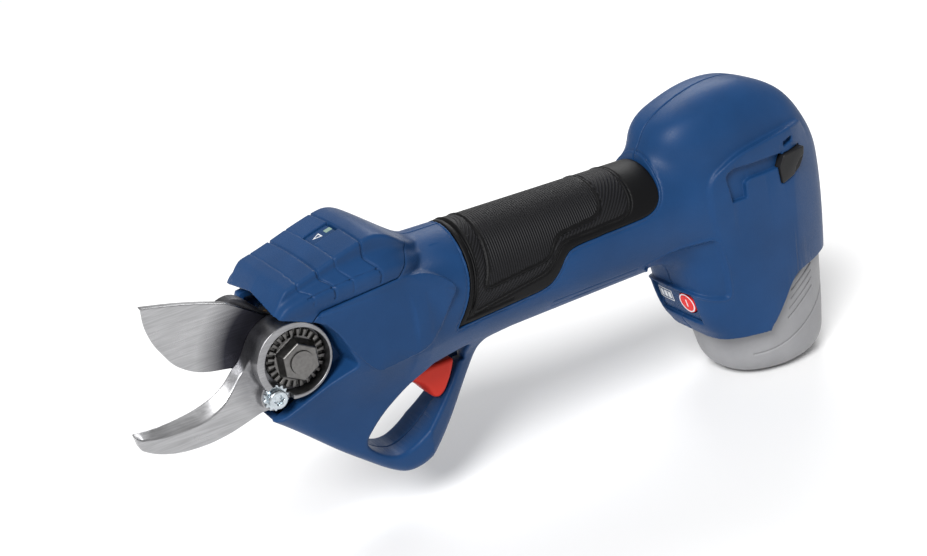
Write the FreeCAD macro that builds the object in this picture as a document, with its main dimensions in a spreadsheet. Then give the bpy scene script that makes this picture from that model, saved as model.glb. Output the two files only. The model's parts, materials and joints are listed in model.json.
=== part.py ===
import FreeCAD, Part
import Sketcher
import math
import os

# Battery electric pruner, in millimetres.
# +X runs from the blades to the battery, +Z is up, and the blade pivot's nut is on the -Y side.
# The origin is the middle of the bounding box's bottom face, under the battery.
# Shapes are drawn from the blade pivot, and each sub-part's Placement moves them to that origin.

V = FreeCAD.Vector
doc = FreeCAD.newDocument("pruner")

# ---------------------------------------------------------------- driving dimensions
SIZES = {
    "pivot_x": -86.75, "pivot_z": 78.0,
    "hook_near_y": -8.0, "hook_thickness": 4.0, "blade_gap": 0.1, "blade_thickness": 3.0,
    "bolt_radius": 4.0, "bolt_end_y": -17.9, "bolt_seat_y": 13.0, "bolt_head_length": 5.0,
    "bolt_head_flats": 13.0,
    "bush_wall": 2.0, "running_clearance": 0.05, "hub_radius": 10.0, "hub_end_y": 9.3,
    "cup_radius": 13.0, "cup_bore": 11.0, "cup_rim_y": -16.5, "cup_floor_y": -10.5,
    "nut_flats_base": 14.0, "nut_flats_top": 11.6, "nut_top_y": -17.3, "nut_base_y": -12.5,
    "nut_flange_radius": 10.2,
    "lock_x": -10.0, "lock_z": -10.6, "lock_lug_radius": 4.7, "lock_washer_radius": 4.3,
    "lock_washer_y": -14.0,
    "lock_washer_thickness": 1.2, "lock_head_radius": 3.3, "lock_head_length": 2.5,
    "lock_shank_radius": 2.0,
    "gear_teeth": 48.0, "pinion_teeth": 13.0, "bevel_module": 0.9375, "bevel_face": 7.0,
    "bevel_play": 0.3,
    "planet_teeth": 12.0, "ring_teeth": 36.0, "planet_module": 0.7, "planet_play": 0.16,
    "planet_width": 6.0,
    "planet_start": 40.0, "planet_pin_radius": 1.5, "pinion_shaft_radius": 3.0,
    "case_radius": 16.5, "case_wall": 1.7, "case_start": 33.0, "case_end": 53.0, "nose_radius": 8.0,
    "nose_start": 26.0,
    "motor_radius": 14.5, "motor_start": 49.0, "motor_length": 52.0, "motor_wall": 1.2,
    "stator_bore": 9.6,
    "rotor_radius": 9.2, "motor_shaft_radius": 1.6, "motor_shaft_end": 106.0,
    "shell_wall": 2.3, "rubber_thickness": 1.5,
    "trigger_pivot_x": 41.0, "trigger_pivot_z": -19.6, "trigger_pin_radius": 1.5,
    "trigger_width": 9.0,
    "switch_x": 57.0, "switch_z": -20.0, "switch_length": 12.6, "switch_height": 5.0,
    "switch_width": 6.4,
    "button_radius": 4.4, "button_y": -7.0, "button_z": -39.0,
    "button_front_x": 163.0, "button_flange_x": 169.2, "board_x": 172.1,
    "cell_radius": 9.0, "cell_length": 65.0, "cell_bottom_z": -57.1, "cell_wall": 0.8,
    "battery_floor_z": -78.0, "battery_joint_z": -57.2, "battery_top_z": 9.6,
    "latch_x": 204.5, "latch_z": 9.3, "latch_length": 12.0, "latch_height": 11.0,
    "latch_face_y": 24.9,
    "latch_inner_y": 19.6, "latch_gap": 0.35,
    "screw_shank_radius": 1.35, "screw_head_radius": 2.8, "screw_boss_radius": 3.5,
}
sheet = doc.addObject("Spreadsheet::Sheet", "Sizes")
for row, (alias, value) in enumerate(SIZES.items(), start=1):
    sheet.set(f"A{row}", alias)
    sheet.set(f"B{row}", str(value))
    sheet.setAlias(f"B{row}", alias)
doc.recompute()


def size(alias):
    return float(sheet.get(alias))


PARTS = []
CORNERS = {}


# ---------------------------------------------------------------- ways of making a sub-part
def keep(item, label):
    """Make an object a sub-part: name it and move it from the pivot to the origin."""
    item.Label = label
    rule = CORNERS.get(item.Name, {})
    item.setExpression("Placement.Base.x", f"Sizes.pivot_x + {rule.get('x', 0)}")
    item.setExpression("Placement.Base.z", f"Sizes.pivot_z + {rule.get('z', 0)}")
    PARTS.append(item)
    return item


def shape_part(label, shape):
    """A sub-part whose shape comes from the functions below."""
    item = doc.addObject("Part::Feature", label)
    item.Shape = shape
    return keep(item, label)


TURN = {
    "x": FreeCAD.Rotation(V(0, 1, 0), V(0, 0, 1), V(1, 0, 0), "ZXY"),
    "y": FreeCAD.Rotation(V(1, 0, 0), V(0, 0, -1), V(0, 1, 0), "ZXY"),
    "z": FreeCAD.Rotation(),
}


def place(item, axis, x="0", y="0", z="0"):
    """Turn a primitive's own Z to an axis and bind its corner to expressions."""
    item.Placement = FreeCAD.Placement(V(), TURN[axis])
    corner = {"x": x, "y": y, "z": z}
    for letter, rule in corner.items():
        item.setExpression(f"Placement.Base.{letter}", rule)
    CORNERS[item.Name] = corner
    return item


def rod(axis, radius, length, x="0", y="0", z="0"):
    item = doc.addObject("Part::Cylinder", "rod")
    item.setExpression("Radius", radius)
    item.setExpression("Height", length)
    return place(item, axis, x, y, z)


def block(length, width, height, x="0", y="0", z="0"):
    item = doc.addObject("Part::Box", "block")
    item.setExpression("Length", length)
    item.setExpression("Width", width)
    item.setExpression("Height", height)
    return place(item, "z", x, y, z)


def fuse(*items):
    item = doc.addObject("Part::MultiFuse", "fuse")
    item.Shapes = list(items)
    return item


def cut(base, tool):
    item = doc.addObject("Part::Cut", "cut")
    item.Base = base
    item.Tool = tool
    return item


def turned(label, axis, inner, outer, start, length):
    """A turned ring or pin: a PartDesign body with one revolved rectangle, sizes bound to the sheet."""
    body = doc.addObject("PartDesign::Body", label)
    plane = next(item for item in body.Origin.OriginFeatures if item.Role == "XY_Plane")
    line = next(item for item in body.Origin.OriginFeatures if item.Role == f"{axis.upper()}_Axis")
    sketch = body.newObject("Sketcher::SketchObject", f"{label}_profile")
    sketch.AttachmentSupport = [(plane, "")]
    sketch.MapMode = "FlatFace"

    def corner(along, out):
        return V(along, out, 0) if axis == "x" else V(out, along, 0)

    points = [corner(1, 2), corner(5, 2), corner(5, 4), corner(1, 4)]
    for first, second in zip(points, points[1:] + points[:1]):
        sketch.addGeometry(Part.LineSegment(first, second), False)
    for index in range(4):
        sketch.addConstraint(Sketcher.Constraint("Coincident", index, 2, (index + 1) % 4, 1))
    along_kind, out_kind = ("Horizontal", "Vertical") if axis == "x" else ("Vertical", "Horizontal")
    for index in (0, 2):
        sketch.addConstraint(Sketcher.Constraint(along_kind, index))
    for index in (1, 3):
        sketch.addConstraint(Sketcher.Constraint(out_kind, index))
    along_word, out_word = ("DistanceX", "DistanceY") if axis == "x" else ("DistanceY", "DistanceX")
    rules = [
        (Sketcher.Constraint(along_word, -1, 1, 0, 1, 1.0), start),
        (Sketcher.Constraint(along_word, 0, 1, 0, 2, 4.0), length),
        (Sketcher.Constraint(out_word, -1, 1, 0, 1, 2.0), inner),
        (Sketcher.Constraint(out_word, 1, 1, 1, 2, 2.0), f"({outer}) - ({inner})"),
    ]
    for constraint, rule in rules:
        number = sketch.addConstraint(constraint)
        sketch.setExpression(f"Constraints[{number}]", rule)
    spin = body.newObject("PartDesign::Revolution", f"{label}_turning")
    spin.Profile = sketch
    spin.ReferenceAxis = (line, [""])
    spin.Angle = 360.0
    return body


# ---------------------------------------------------------------- shape functions
def wire_xz(points, y):
    """A closed wire in a side plane. Each point is (x, z), or (x, z, x, z) for an arc's middle and end."""
    edges = []
    here = V(points[0][-2], y, points[0][-1])
    first = here
    for point in points[1:]:
        end = V(point[-2], y, point[-1])
        if len(point) == 4:
            edges.append(Part.Arc(here, V(point[0], y, point[1]), end).toShape())
        else:
            edges.append(Part.LineSegment(here, end).toShape())
        here = end
    if here.distanceToPoint(first) > 1e-6:
        edges.append(Part.LineSegment(here, first).toShape())
    return Part.Wire(edges)


def slab_xz(points, y_low, y_high):
    return Part.Face(wire_xz(points, y_low)).extrude(V(0, y_high - y_low, 0))


def drum(axis, radius, start, end, x=0.0, y=0.0, z=0.0):
    direction = {"x": V(1, 0, 0), "y": V(0, 1, 0), "z": V(0, 0, 1)}[axis]
    return Part.makeCylinder(radius, end - start, V(x, y, z) + direction * start, direction)


def brick(x_low, x_high, y_low, y_high, z_low, z_high):
    return Part.makeBox(x_high - x_low, y_high - y_low, z_high - z_low, V(x_low, y_low, z_low))


def oval(plane, centre, half_one, half_two):
    """An ellipse of any proportion: half_one lies along X (plane z) or Y (plane x), half_two across it."""
    if plane == "z":
        one, two = V(1, 0, 0), V(0, 1, 0)
    else:
        one, two = V(0, 1, 0), V(0, 0, 1)
    if half_one < half_two:
        one, two = two, one * -1
        half_one, half_two = half_two, half_one
    curve = Part.Ellipse(centre + one * half_one, centre + two * half_two, centre)
    halves = [Part.ArcOfEllipse(curve, start * math.pi, (start + 1) * math.pi).toShape() for start in (0, 1)]
    return Part.Wire(halves)


def involute(angle):
    return math.tan(angle) - angle


PRESSURE_ANGLE = math.radians(20)


def tooth_half_angle(teeth, pitch_radius, radius, play):
    """Half the angle that an involute tooth fills at a radius, thinned by its share of the play."""
    base = pitch_radius * math.cos(PRESSURE_ANGLE)
    flank = involute(math.acos(base / radius)) if radius > base else 0.0
    return math.pi / (2 * teeth) + involute(PRESSURE_ANGLE) - flank - play / (4 * radius)


def spur_outline(teeth, module, add, ded, play, start_angle):
    """A spur gear's outline about its own centre, with a tooth at start_angle."""
    pitch_radius = teeth * module / 2
    radii = (pitch_radius - ded, pitch_radius, pitch_radius + add)
    points = []
    for index in range(teeth):
        middle = start_angle + 2 * math.pi * index / teeth
        for side, order in ((-1, radii), (1, radii[::-1])):
            for radius in order:
                angle = middle + side * tooth_half_angle(teeth, pitch_radius, radius, play)
                points.append(V(radius * math.cos(angle), radius * math.sin(angle), 0))
    return points


def spur_gear(teeth, module, width, play, start_angle, bore):
    points = spur_outline(teeth, module, 0.9 * module, 1.2 * module, play, start_angle)
    gear = Part.Face(Part.makePolygon(points + points[:1])).extrude(V(0, 0, width))
    return gear.cut(Part.makeCylinder(bore, width)) if bore else gear


def bevel_teeth(teeth, mate_teeth, module, face, play, first, count):
    """Straight bevel teeth about +Z with the cone's tip at the origin, as lofts towards that tip."""
    cone = math.atan2(teeth, mate_teeth)
    outer = module * math.hypot(teeth, mate_teeth) / 2
    add, ded = 0.9 * module, 1.2 * module
    virtual_teeth = teeth / math.cos(cone)
    virtual_radius = virtual_teeth * module / 2
    along = V(math.sin(cone), 0, math.cos(cone))
    out = V(math.cos(cone), 0, -math.sin(cone))
    across = V(0, 1, 0)
    solids = []
    for index in range(count):
        wires = []
        for distance in (outer, outer - face):
            scale = distance / outer
            corners = []
            for side, heights in ((-1, (-ded, 0.0, add)), (1, (add, 0.0, -ded))):
                for height in heights:
                    radius = virtual_radius + height
                    half = radius * tooth_half_angle(virtual_teeth, virtual_radius, radius, play)
                    sunk = height - 0.3 if height < 0 else height
                    corners.append((along * outer + out * sunk + across * (side * half)) * scale)
            wires.append(Part.makePolygon(corners + corners[:1]))
        tooth = Part.makeLoft(wires, True, True)
        tooth.rotate(V(), V(0, 0, 1), math.degrees(first) + 360.0 * index / teeth)
        solids.append(tooth)
    return solids


def root_cone_height(radius, teeth, mate_teeth, module):
    """Where a bevel gear's root cone stands along its axis, at a radius."""
    cone = math.atan2(teeth, mate_teeth)
    outer = module * math.hypot(teeth, mate_teeth) / 2
    return radius / math.tan(cone - math.atan2(1.2 * module, outer))


def spun(profile, degrees=360.0):
    """A solid turned about Z from (radius, height) corners."""
    corners = [V(radius, 0, height) for radius, height in profile]
    return Part.Face(Part.makePolygon(corners + corners[:1])).revolve(V(), V(0, 0, 1), degrees)


def turned_to(axis, shape):
    return shape.transformed(FreeCAD.Placement(V(), TURN[axis]).toMatrix(), True)


def moved(shape, x=0.0, y=0.0, z=0.0):
    return shape.transformed(FreeCAD.Placement(V(x, y, z), FreeCAD.Rotation()).toMatrix(), True)


def united(solids):
    return solids[0].multiFuse(solids[1:]).removeSplitter()


# ---------------------------------------------------------------- blades and pivot
hook_near = size("hook_near_y")
hook_far = hook_near + size("hook_thickness")
blade_near = hook_far + size("blade_gap")
blade_far = blade_near + size("blade_thickness")
bush_radius = size("bolt_radius") + size("bush_wall")
lock_x, lock_z = size("lock_x"), size("lock_z")


def lower_blade():
    """The fixed hook: a bevelled crescent, the pivot's cup, the lock screw's lug and a forked tail."""
    outer_edge = [(-58.9, -8.4), (-57.0, -13.6), (-43.5, -21.6, -20.5, -18.9), (-9.0, -15.2)]
    near_inner = [(-6.0, -2.0), (-19.6, -1.2), (-24.5, -9.8, -35.0, -12.9), (-47.0, -12.9, -56.0, -10.4)]
    far_inner = [(-6.0, 3.0), (-19.9, 1.0), (-25.5, -6.2, -36.2, -9.0), (-47.0, -10.1, -57.2, -8.4)]
    near_wire = wire_xz(outer_edge + near_inner, hook_near)
    far_wire = wire_xz(outer_edge + far_inner, hook_far)
    crescent = Part.makeLoft([near_wire, far_wire], True, True)
    hub = drum("y", size("cup_radius"), hook_near, hook_far)
    tail = slab_xz([(0, 13), (10, 19), (25, 19), (25, 9.5), (14.5, 9.5), (14.5, -9.5), (25, -9.5), (25, -19),
                    (8, -19), (-5, -14)], hook_near, hook_far)
    cup = drum("y", size("cup_radius"), size("cup_rim_y"), hook_near)
    lug = drum("y", size("lock_lug_radius"), -12.8, hook_near, x=lock_x, z=lock_z)
    solid = united([crescent, hub, tail, cup, lug])
    hollow = drum("y", size("cup_bore"), size("cup_rim_y") - 1, size("cup_floor_y"))
    notch = drum("y", 5.4, size("cup_rim_y") - 1, -12.8, x=lock_x, z=lock_z)
    bolt_hole = drum("y", size("bolt_radius"), -20, 0)
    lock_hole = drum("y", size("lock_shank_radius"), -20, 0, x=lock_x, z=lock_z)
    screw_holes = [drum("y", 2.0, -20, 0, x=21, z=z) for z in (-14.5, 14.5)]
    return solid.cut(hollow.multiFuse([notch, bolt_hole, lock_hole] + screw_holes))


def upper_blade():
    """The moving blade: a convex cutting edge ground on the far side, and a round hub."""
    outline = [(-44.3, 30.2), (-43.6, 18.0, -37.9, 8.3), (-29.6, 2.2, -19.6, 0.3), (-10.5, -5.8),
               (-0.9, 12.0), (-16.0, 22.5)]
    plate = slab_xz(outline, blade_near, blade_far)
    plate = plate.fuse(drum("y", 12.0, blade_near, blade_far))
    bore = drum("y", bush_radius + size("running_clearance"), blade_near, blade_far)
    return plate.cut(bore).removeSplitter()


def blade_carrier():
    """The hub and arm behind the moving blade."""
    arm = slab_xz([(-9.0, -3.0), (-19.5, 16.0), (-17.6, 21.6, -12.0, 22.4), (1.0, 9.5)], blade_far, 4.5)
    hub = drum("y", size("hub_radius"), blade_far, size("hub_end_y"))
    bore = drum("y", bush_radius + size("running_clearance"), blade_far, size("hub_end_y"))
    return arm.fuse(hub).cut(bore).removeSplitter()


shape_part("lower_blade", lower_blade())
shape_part("upper_blade", upper_blade())
shape_part("blade_carrier", blade_carrier())

gear_teeth, pinion_teeth = int(size("gear_teeth")), int(size("pinion_teeth"))
bevel_module, bevel_face = size("bevel_module"), size("bevel_face")


def sector_gear():
    """A toothed segment on the blade's hub. It starts a little above the mesh line and hangs below it."""
    above, below = 2, 7
    pitch = 2 * math.pi / gear_teeth
    teeth = bevel_teeth(gear_teeth, pinion_teeth, bevel_module, bevel_face, size("bevel_play"),
                        -above * pitch, above + below + 1)
    inner, outer = size("hub_radius"), gear_teeth * bevel_module / 2 + 0.2
    profile = [(inner, 5.2), (15.2, 5.2)]
    profile += [(15.5, root_cone_height(15.5, gear_teeth, pinion_teeth, bevel_module)),
                (outer, root_cone_height(outer, gear_teeth, pinion_teeth, bevel_module)),
                (outer, size("hub_end_y")), (inner, size("hub_end_y"))]
    span = math.degrees(pitch) * (above + below + 1)
    segment = spun(profile, span)
    segment.rotate(V(), V(0, 0, 1), -math.degrees(pitch) * (above + 0.5))
    return turned_to("y", united([segment] + teeth))


def bevel_pinion():
    """The output pinion and its shaft."""
    half_pitch = math.pi / pinion_teeth
    teeth = bevel_teeth(pinion_teeth, gear_teeth, bevel_module, bevel_face, size("bevel_play"),
                        half_pitch, pinion_teeth)
    outer = gear_teeth * bevel_module / 2
    inner = outer - bevel_face * math.cos(math.atan2(pinion_teeth, gear_teeth))
    cone = math.atan2(pinion_teeth, gear_teeth)
    root = cone - math.atan2(1.2 * bevel_module, bevel_module * math.hypot(gear_teeth, pinion_teeth) / 2)
    profile = [(0, inner), (inner * math.tan(root), inner), (outer * math.tan(root), outer),
               (size("pinion_shaft_radius"), outer + 1.6), (size("pinion_shaft_radius"), 39.2), (0, 39.2)]
    return turned_to("x", united([spun(profile)] + teeth))


shape_part("sector_gear", sector_gear())
shape_part("bevel_pinion", bevel_pinion())


shank = rod("y", "Sizes.bolt_radius", "Sizes.bolt_seat_y - Sizes.bolt_end_y", y="Sizes.bolt_end_y")
head = doc.addObject("Part::Prism", "bolt_head")
head.Polygon = 6
head.setExpression("Circumradius", "Sizes.bolt_head_flats / 2 / cos(30 deg)")
head.setExpression("Height", "Sizes.bolt_head_length")
place(head, "y", y="Sizes.bolt_seat_y")
keep(fuse(shank, head), "pivot_bolt")

keep(turned("pivot_bushing", "y", "Sizes.bolt_radius", "Sizes.bolt_radius + Sizes.bush_wall",
            "Sizes.hook_near_y + Sizes.hook_thickness", "Sizes.hub_end_y + 0.7 - Sizes.hook_near_y"
            " - Sizes.hook_thickness"), "pivot_bushing")


def adjusting_nut():
    """A tapered hexagon on a slotted flange."""
    base_y, top_y = size("nut_base_y"), size("nut_top_y")
    wires = []
    for flats, y in ((size("nut_flats_base"), base_y), (size("nut_flats_top"), top_y)):
        corner = flats / 2 / math.cos(math.radians(30))
        turns = [math.radians(60 * index) for index in range(6)]
        corners = [V(corner * math.cos(turn), y, corner * math.sin(turn)) for turn in turns]
        wires.append(Part.makePolygon(corners + corners[:1]))
    hexagon = Part.makeLoft(wires, True, True)
    flange = drum("y", size("nut_flange_radius"), base_y, size("cup_floor_y"))
    slots = []
    for index in range(24):
        slot = brick(8.0, 11.0, base_y - 0.1, base_y + 1.4, -0.55, 0.55)
        slot.rotate(V(), V(0, 1, 0), 15.0 * index)
        slots.append(slot)
    bore = drum("y", size("bolt_radius"), top_y, size("cup_floor_y"))
    return hexagon.fuse(flange).cut(slots[0].multiFuse(slots[1:] + [bore]))


shape_part("adjusting_nut", adjusting_nut())
lock_shank = rod("y", "Sizes.lock_shank_radius",
                 "Sizes.hook_near_y + Sizes.hook_thickness - Sizes.lock_washer_y",
                 "Sizes.lock_x", "Sizes.lock_washer_y", "Sizes.lock_z")
lock_head = rod("y", "Sizes.lock_head_radius", "Sizes.lock_head_length", "Sizes.lock_x",
                "Sizes.lock_washer_y - Sizes.lock_head_length", "Sizes.lock_z")
keep(fuse(lock_shank, lock_head), "lock_screw")
lock_disc = rod("y", "Sizes.lock_washer_radius", "Sizes.lock_washer_thickness", "Sizes.lock_x",
                "Sizes.lock_washer_y", "Sizes.lock_z")
lock_bore = rod("y", "Sizes.lock_shank_radius", "Sizes.lock_washer_thickness", "Sizes.lock_x",
                "Sizes.lock_washer_y", "Sizes.lock_z")
keep(cut(lock_disc, lock_bore), "lock_washer")


# ---------------------------------------------------------------- gearbox and motor
def ring_gear():
    """The fixed internal gear: a ring whose spaces are an external gear's teeth."""
    teeth, module = int(size("ring_teeth")), size("planet_module")
    play = -size("planet_play")
    points = spur_outline(teeth, module, 1.15 * module, 0.85 * module, play, math.pi / teeth)
    space = Part.Face(Part.makePolygon(points + points[:1])).extrude(V(0, 0, size("planet_width") + 1))
    ring = Part.makeCylinder(size("case_radius") - size("case_wall"), size("planet_width") + 1)
    solid = turned_to("x", ring.cut(space))
    return moved(solid, size("planet_start") - 0.5)


planet_teeth, planet_module = int(size("planet_teeth")), size("planet_module")
orbit = planet_teeth * planet_module
PLANETS = [(index + 1, math.radians(120 * index)) for index in range(3)]


def planet_gear(turn):
    """One planet, with gaps facing the sun and the ring."""
    gear = spur_gear(planet_teeth, planet_module, size("planet_width"), size("planet_play"),
                     turn + math.pi / planet_teeth, size("planet_pin_radius") + size("running_clearance"))
    return turned_to("x", moved(gear, orbit * math.cos(turn), orbit * math.sin(turn), size("planet_start")))


def planet_carrier():
    """A disc on the output shaft with three planet pins."""
    disc = Part.makeCylinder(11.2, 2.6, V(0, 0, 36.6))
    bore = Part.makeCylinder(size("pinion_shaft_radius"), 2.6, V(0, 0, 36.6))
    pins = [Part.makeCylinder(size("planet_pin_radius"), size("planet_width") + 1.3,
                              V(orbit * math.cos(turn), orbit * math.sin(turn), 39.2)) for _, turn in PLANETS]
    return turned_to("x", united([disc.cut(bore)] + pins))


def sun_gear():
    gear = spur_gear(planet_teeth, planet_module, size("planet_width") + 0.6, size("planet_play"), 0.0,
                     size("motor_shaft_radius"))
    return turned_to("x", moved(gear, z=size("planet_start")))


shape_part("ring_gear", ring_gear())
shape_part("planet_carrier", planet_carrier())
for number, turn in PLANETS:
    shape_part(f"planet_gear_{number}", planet_gear(turn))
shape_part("sun_gear", sun_gear())


def gear_case():
    """A stepped tube with a bushed nose, two ears for the hook and one for the pivot plate."""
    start, end, radius = size("case_start"), size("case_end"), size("case_radius")
    tube = drum("x", radius, start, end)
    nose = drum("x", size("nose_radius"), size("nose_start"), start)
    ears = [brick(15.5, start + 1, hook_far, 2.3, low, low + 9) for low in (10, -19)]
    bridges = [brick(26.5, start + 1, hook_far, 2.3, low, low + 5) for low in (6, -11)]
    plate_ear = brick(27, start + 1, 7.0, 10.0, -7, 7)
    hollows = [
        drum("x", radius - size("case_wall"), start + 2.8, 47.4),
        drum("x", size("motor_radius"), 47.4, end),
        drum("x", 5.5, size("nose_start"), start + 2.8),
    ]
    hollows += [drum("y", 2.0, hook_far, 3, x=21, z=z) for z in (-14.5, 14.5)]
    return united([tube, nose] + ears + bridges + [plate_ear]).cut(hollows[0].multiFuse(hollows[1:]))


shape_part("gear_case", gear_case())
keep(turned("output_bushing", "x", "Sizes.pinion_shaft_radius + Sizes.running_clearance", "5.5",
            "Sizes.nose_start", "8"), "output_bushing")
plate_disc = rod("y", "12", "3", y="Sizes.hub_end_y + 0.7")
plate_arm = block("32.7", "3", "13", "0", "Sizes.hub_end_y + 0.7", "-6.5")
plate_bore = rod("y", "Sizes.bolt_radius", "3", y="Sizes.hub_end_y + 0.7")
keep(cut(fuse(plate_disc, plate_arm), plate_bore), "pivot_plate")
keep(turned("thrust_washer", "y", "Sizes.bolt_radius + Sizes.bush_wall", "Sizes.hub_radius",
            "Sizes.hub_end_y + 0.1", "0.6"), "thrust_washer")


def blade_screws():
    """Two screws that hold the hook's tail to the gear case's ears."""
    screws = []
    for z in (-14.5, 14.5):
        shank = drum("y", 2.0, hook_near, 2.2, x=21, z=z)
        head = drum("y", 3.6, hook_near - 2.6, hook_near, x=21, z=z)
        socket = drum("y", 1.6, hook_near - 2.7, hook_near - 1.2, x=21, z=z)
        screws.append(shank.fuse(head).cut(socket))
    return Part.makeCompound(screws)


shape_part("blade_screws", blade_screws())

MOTOR_END = "Sizes.motor_start + Sizes.motor_length"
can = rod("x", "Sizes.motor_radius", "Sizes.motor_length - 3", x="Sizes.motor_start")
can_bore = rod("x", "Sizes.motor_radius - Sizes.motor_wall", "Sizes.motor_length",
               x="Sizes.motor_start + 1.6")
can_hole = rod("x", "4", "4", x="Sizes.motor_start - 1")
keep(cut(can, fuse(can_bore, can_hole)), "motor_can")
keep(turned("motor_cap", "x", "4", "Sizes.motor_radius", f"{MOTOR_END} - 3", "3"), "motor_cap")
for label, start in (("front_bearing", "Sizes.motor_start"), ("rear_bearing", f"{MOTOR_END} - 3")):
    keep(turned(label, "x", "Sizes.motor_shaft_radius + Sizes.running_clearance", "4", start, "3"), label)
keep(turned("stator", "x", "Sizes.stator_bore", "Sizes.motor_radius - Sizes.motor_wall",
            "Sizes.motor_start + 8", "34"), "stator")
keep(turned("rotor_core", "x", "Sizes.motor_shaft_radius", "Sizes.rotor_radius",
            "Sizes.motor_start + 8", "34"), "rotor_core")
keep(turned("rotor_shaft", "x", "0", "Sizes.motor_shaft_radius", "Sizes.planet_start",
            "Sizes.motor_shaft_end - Sizes.planet_start"), "rotor_shaft")
keep(block("34", "24", "1.6", "112", "-12", "-9"), "control_board")
keep(block("14", "10", "5", "118", "-5", "-7.4"), "power_transistors")

# ---------------------------------------------------------------- housing
WALL = size("shell_wall")


def handle_loft(shrink):
    """The handle: ovals along X, a little taller than wide, swelling towards the head."""
    stations = [(46, 21.5, 22.5, 2.0), (60, 21.2, 23.0, 1.0), (105, 20.6, 22.3, 0.9), (164, 20.2, 21.4, 0.7)]
    wires = [oval("x", V(x, 0, z), half_y - shrink, half_z - shrink) for x, half_y, half_z, z in stations]
    return Part.makeLoft(wires, True, True)


def rear_loft(shrink, floor):
    """The battery housing: ovals stacked along Z, domed at the top."""
    stations = [(floor, 170, 228, 20.6), (-48, 164, 231, 23.6), (-31, 159.5, 232, 24.6),
                (-6, 156, 232.4, 24.8), (14, 153.5, 230, 24.4), (27, 155, 223.5, 22.0),
                (36, 162, 215, 17.5), (42.5, 176, 205, 10.0)]
    wires = []
    for z, front, rear, half in stations:
        middle = V((front + rear) / 2, 0, z - (shrink if z > 30 else 0))
        wires.append(oval("z", middle, (rear - front) / 2 - shrink, half - shrink))
    return Part.makeLoft(wires, True, True)


HEAD_SIDE = [(-10, 17), (41, 17.5), (50, 25), (64, 24), (80, -20), (70, -28), (61, -43, 49, -57.5),
             (42, -62, 30, -58.5), (11, -42.8), (-6, -25.5), (-14, -18.6)]
HEAD_HOLLOW = [(-20, 15), (41, 15.2), (51, 22), (64, 21), (64, -19), (46, -17.6), (37, -22), (20, -33),
               (13, -38), (-3, -24), (-20, -14)]
HEAD_FRONT = [(22.5, 30), (22.5, -10), (9, -46), (7.6, -64)]


def head_block(side, shrink, x_low, x_high):
    """The head's side outline, narrowed towards the guard."""
    outline = slab_xz(side, -30, 30)
    half = [(width - shrink, z) for width, z in HEAD_FRONT]
    corners = [V(x_low, y, z) for y, z in half] + [V(x_low, -y, z) for y, z in half[::-1]]
    return outline.common(Part.Face(Part.makePolygon(corners + corners[:1])).extrude(V(x_high - x_low, 0, 0)))


FINGER_HOLE = [(38.5, -23.5), (47, -19.5), (66.5, -19.5), (60, -33), (51.5, -42, 36, -52),
               (26, -50, 19.5, -41.5), (27, -31.5)]
NOTCH = [(188, -80), (188.5, -56), (196, -47), (202, -37), (206, -34.3), (245, -33), (245, -80)]
RECESS = [(-40, 17.2), (7, 15.2), (11.5, 11), (15.6, 0), (15.2, -4), (6, -7.5), (-9, -14.5), (-40, -20)]
# Each housing screw's axis, and how far its head's seat stands off the parting plane.
SCREWS = [(4, -27.5, 12), (31, -55.5, 4.5), (64.5, -31, 4.5), (150, -16.5, 6), (166, 23, 8), (216, 18, 8)]
SCREW_HEAD_HEIGHT = 2.2


def latch_window(side):
    half_x = size("latch_length") / 2 + size("latch_gap")
    half_z = size("latch_height") / 2 + size("latch_gap")
    x, z = size("latch_x"), size("latch_z")
    low, high = sorted((side * 18, side * 30))
    return brick(x - half_x, x + half_x, low, high, z - half_z, z + half_z)


# The control panel's opening in the rear housing's front face, and the charge lamp's in the panel.
PANEL = (158.0, 175.0, -12.5, 12.5, -46.5, -31.5)
LAMP = (158.0, 175.0, 2.5, 11.0, -42.0, -36.0)


def housing():
    """The whole housing before it is parted, with every hollow and opening."""
    solid = united([head_block(HEAD_SIDE, 0, -20, 90), handle_loft(0), rear_loft(0, -55)])
    hollows = [
        head_block(HEAD_HOLLOW, WALL, -20, 64),
        handle_loft(WALL + size("rubber_thickness")),
        rear_loft(WALL, -60),
        slab_xz(FINGER_HOLE, -30, 30),
        slab_xz(RECESS, -30, hook_near - 0.3),
        drum("y", size("cup_radius") + 0.6, -30, hook_near - 0.3),
        brick(-20, -2, hook_near - 0.3, 6.2, -13.5, 18),
        slab_xz([(-30, -13.5), (-2, -13.5), (-2, -18), (-30, -22)], hook_near - 0.3, hook_far + 0.3),
        slab_xz(NOTCH, -30, 30),
        drum("y", 7.8, 12, 30),
        brick(-6, 42, -15, 15, 14, 19),
        brick(*PANEL),
        latch_window(-1),
        latch_window(1),
    ]
    for hollow in hollows:
        solid = solid.cut(hollow)
    return solid


def grip_region():
    """The rubber's side outline: over the top and down both sides, stepped at the front."""
    outline = [(66, 40), (60.5, -7.6), (94, -5.4), (97.5, -4.6, 99.4, -1.6), (104.5, 4.6), (107.5, 6.2),
               (143, 6.9), (147.5, 8.0, 149.6, 12), (152, 40)]
    return slab_xz(outline, -40, 40)


def screw_bosses():
    posts = [drum("y", size("screw_boss_radius"), -40, 40, x=x, z=z) for x, z, seat in SCREWS]
    return posts[0].multiFuse(posts[1:])


def screw_holes():
    holes = []
    for x, z, seat in SCREWS:
        holes.append(drum("y", size("screw_shank_radius"), -seat, 40, x=x, z=z))
        holes.append(drum("y", size("screw_head_radius") + 0.2, seat, 40, x=x, z=z))
    return holes[0].multiFuse(holes[1:])


def housing_screws():
    screws = []
    for x, z, seat in SCREWS:
        shank = drum("y", size("screw_shank_radius"), 1 - seat, seat, x=x, z=z)
        head = drum("y", size("screw_head_radius"), seat, seat + SCREW_HEAD_HEIGHT, x=x, z=z)
        screws.append(shank.fuse(head))
    return Part.makeCompound(screws)


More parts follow.
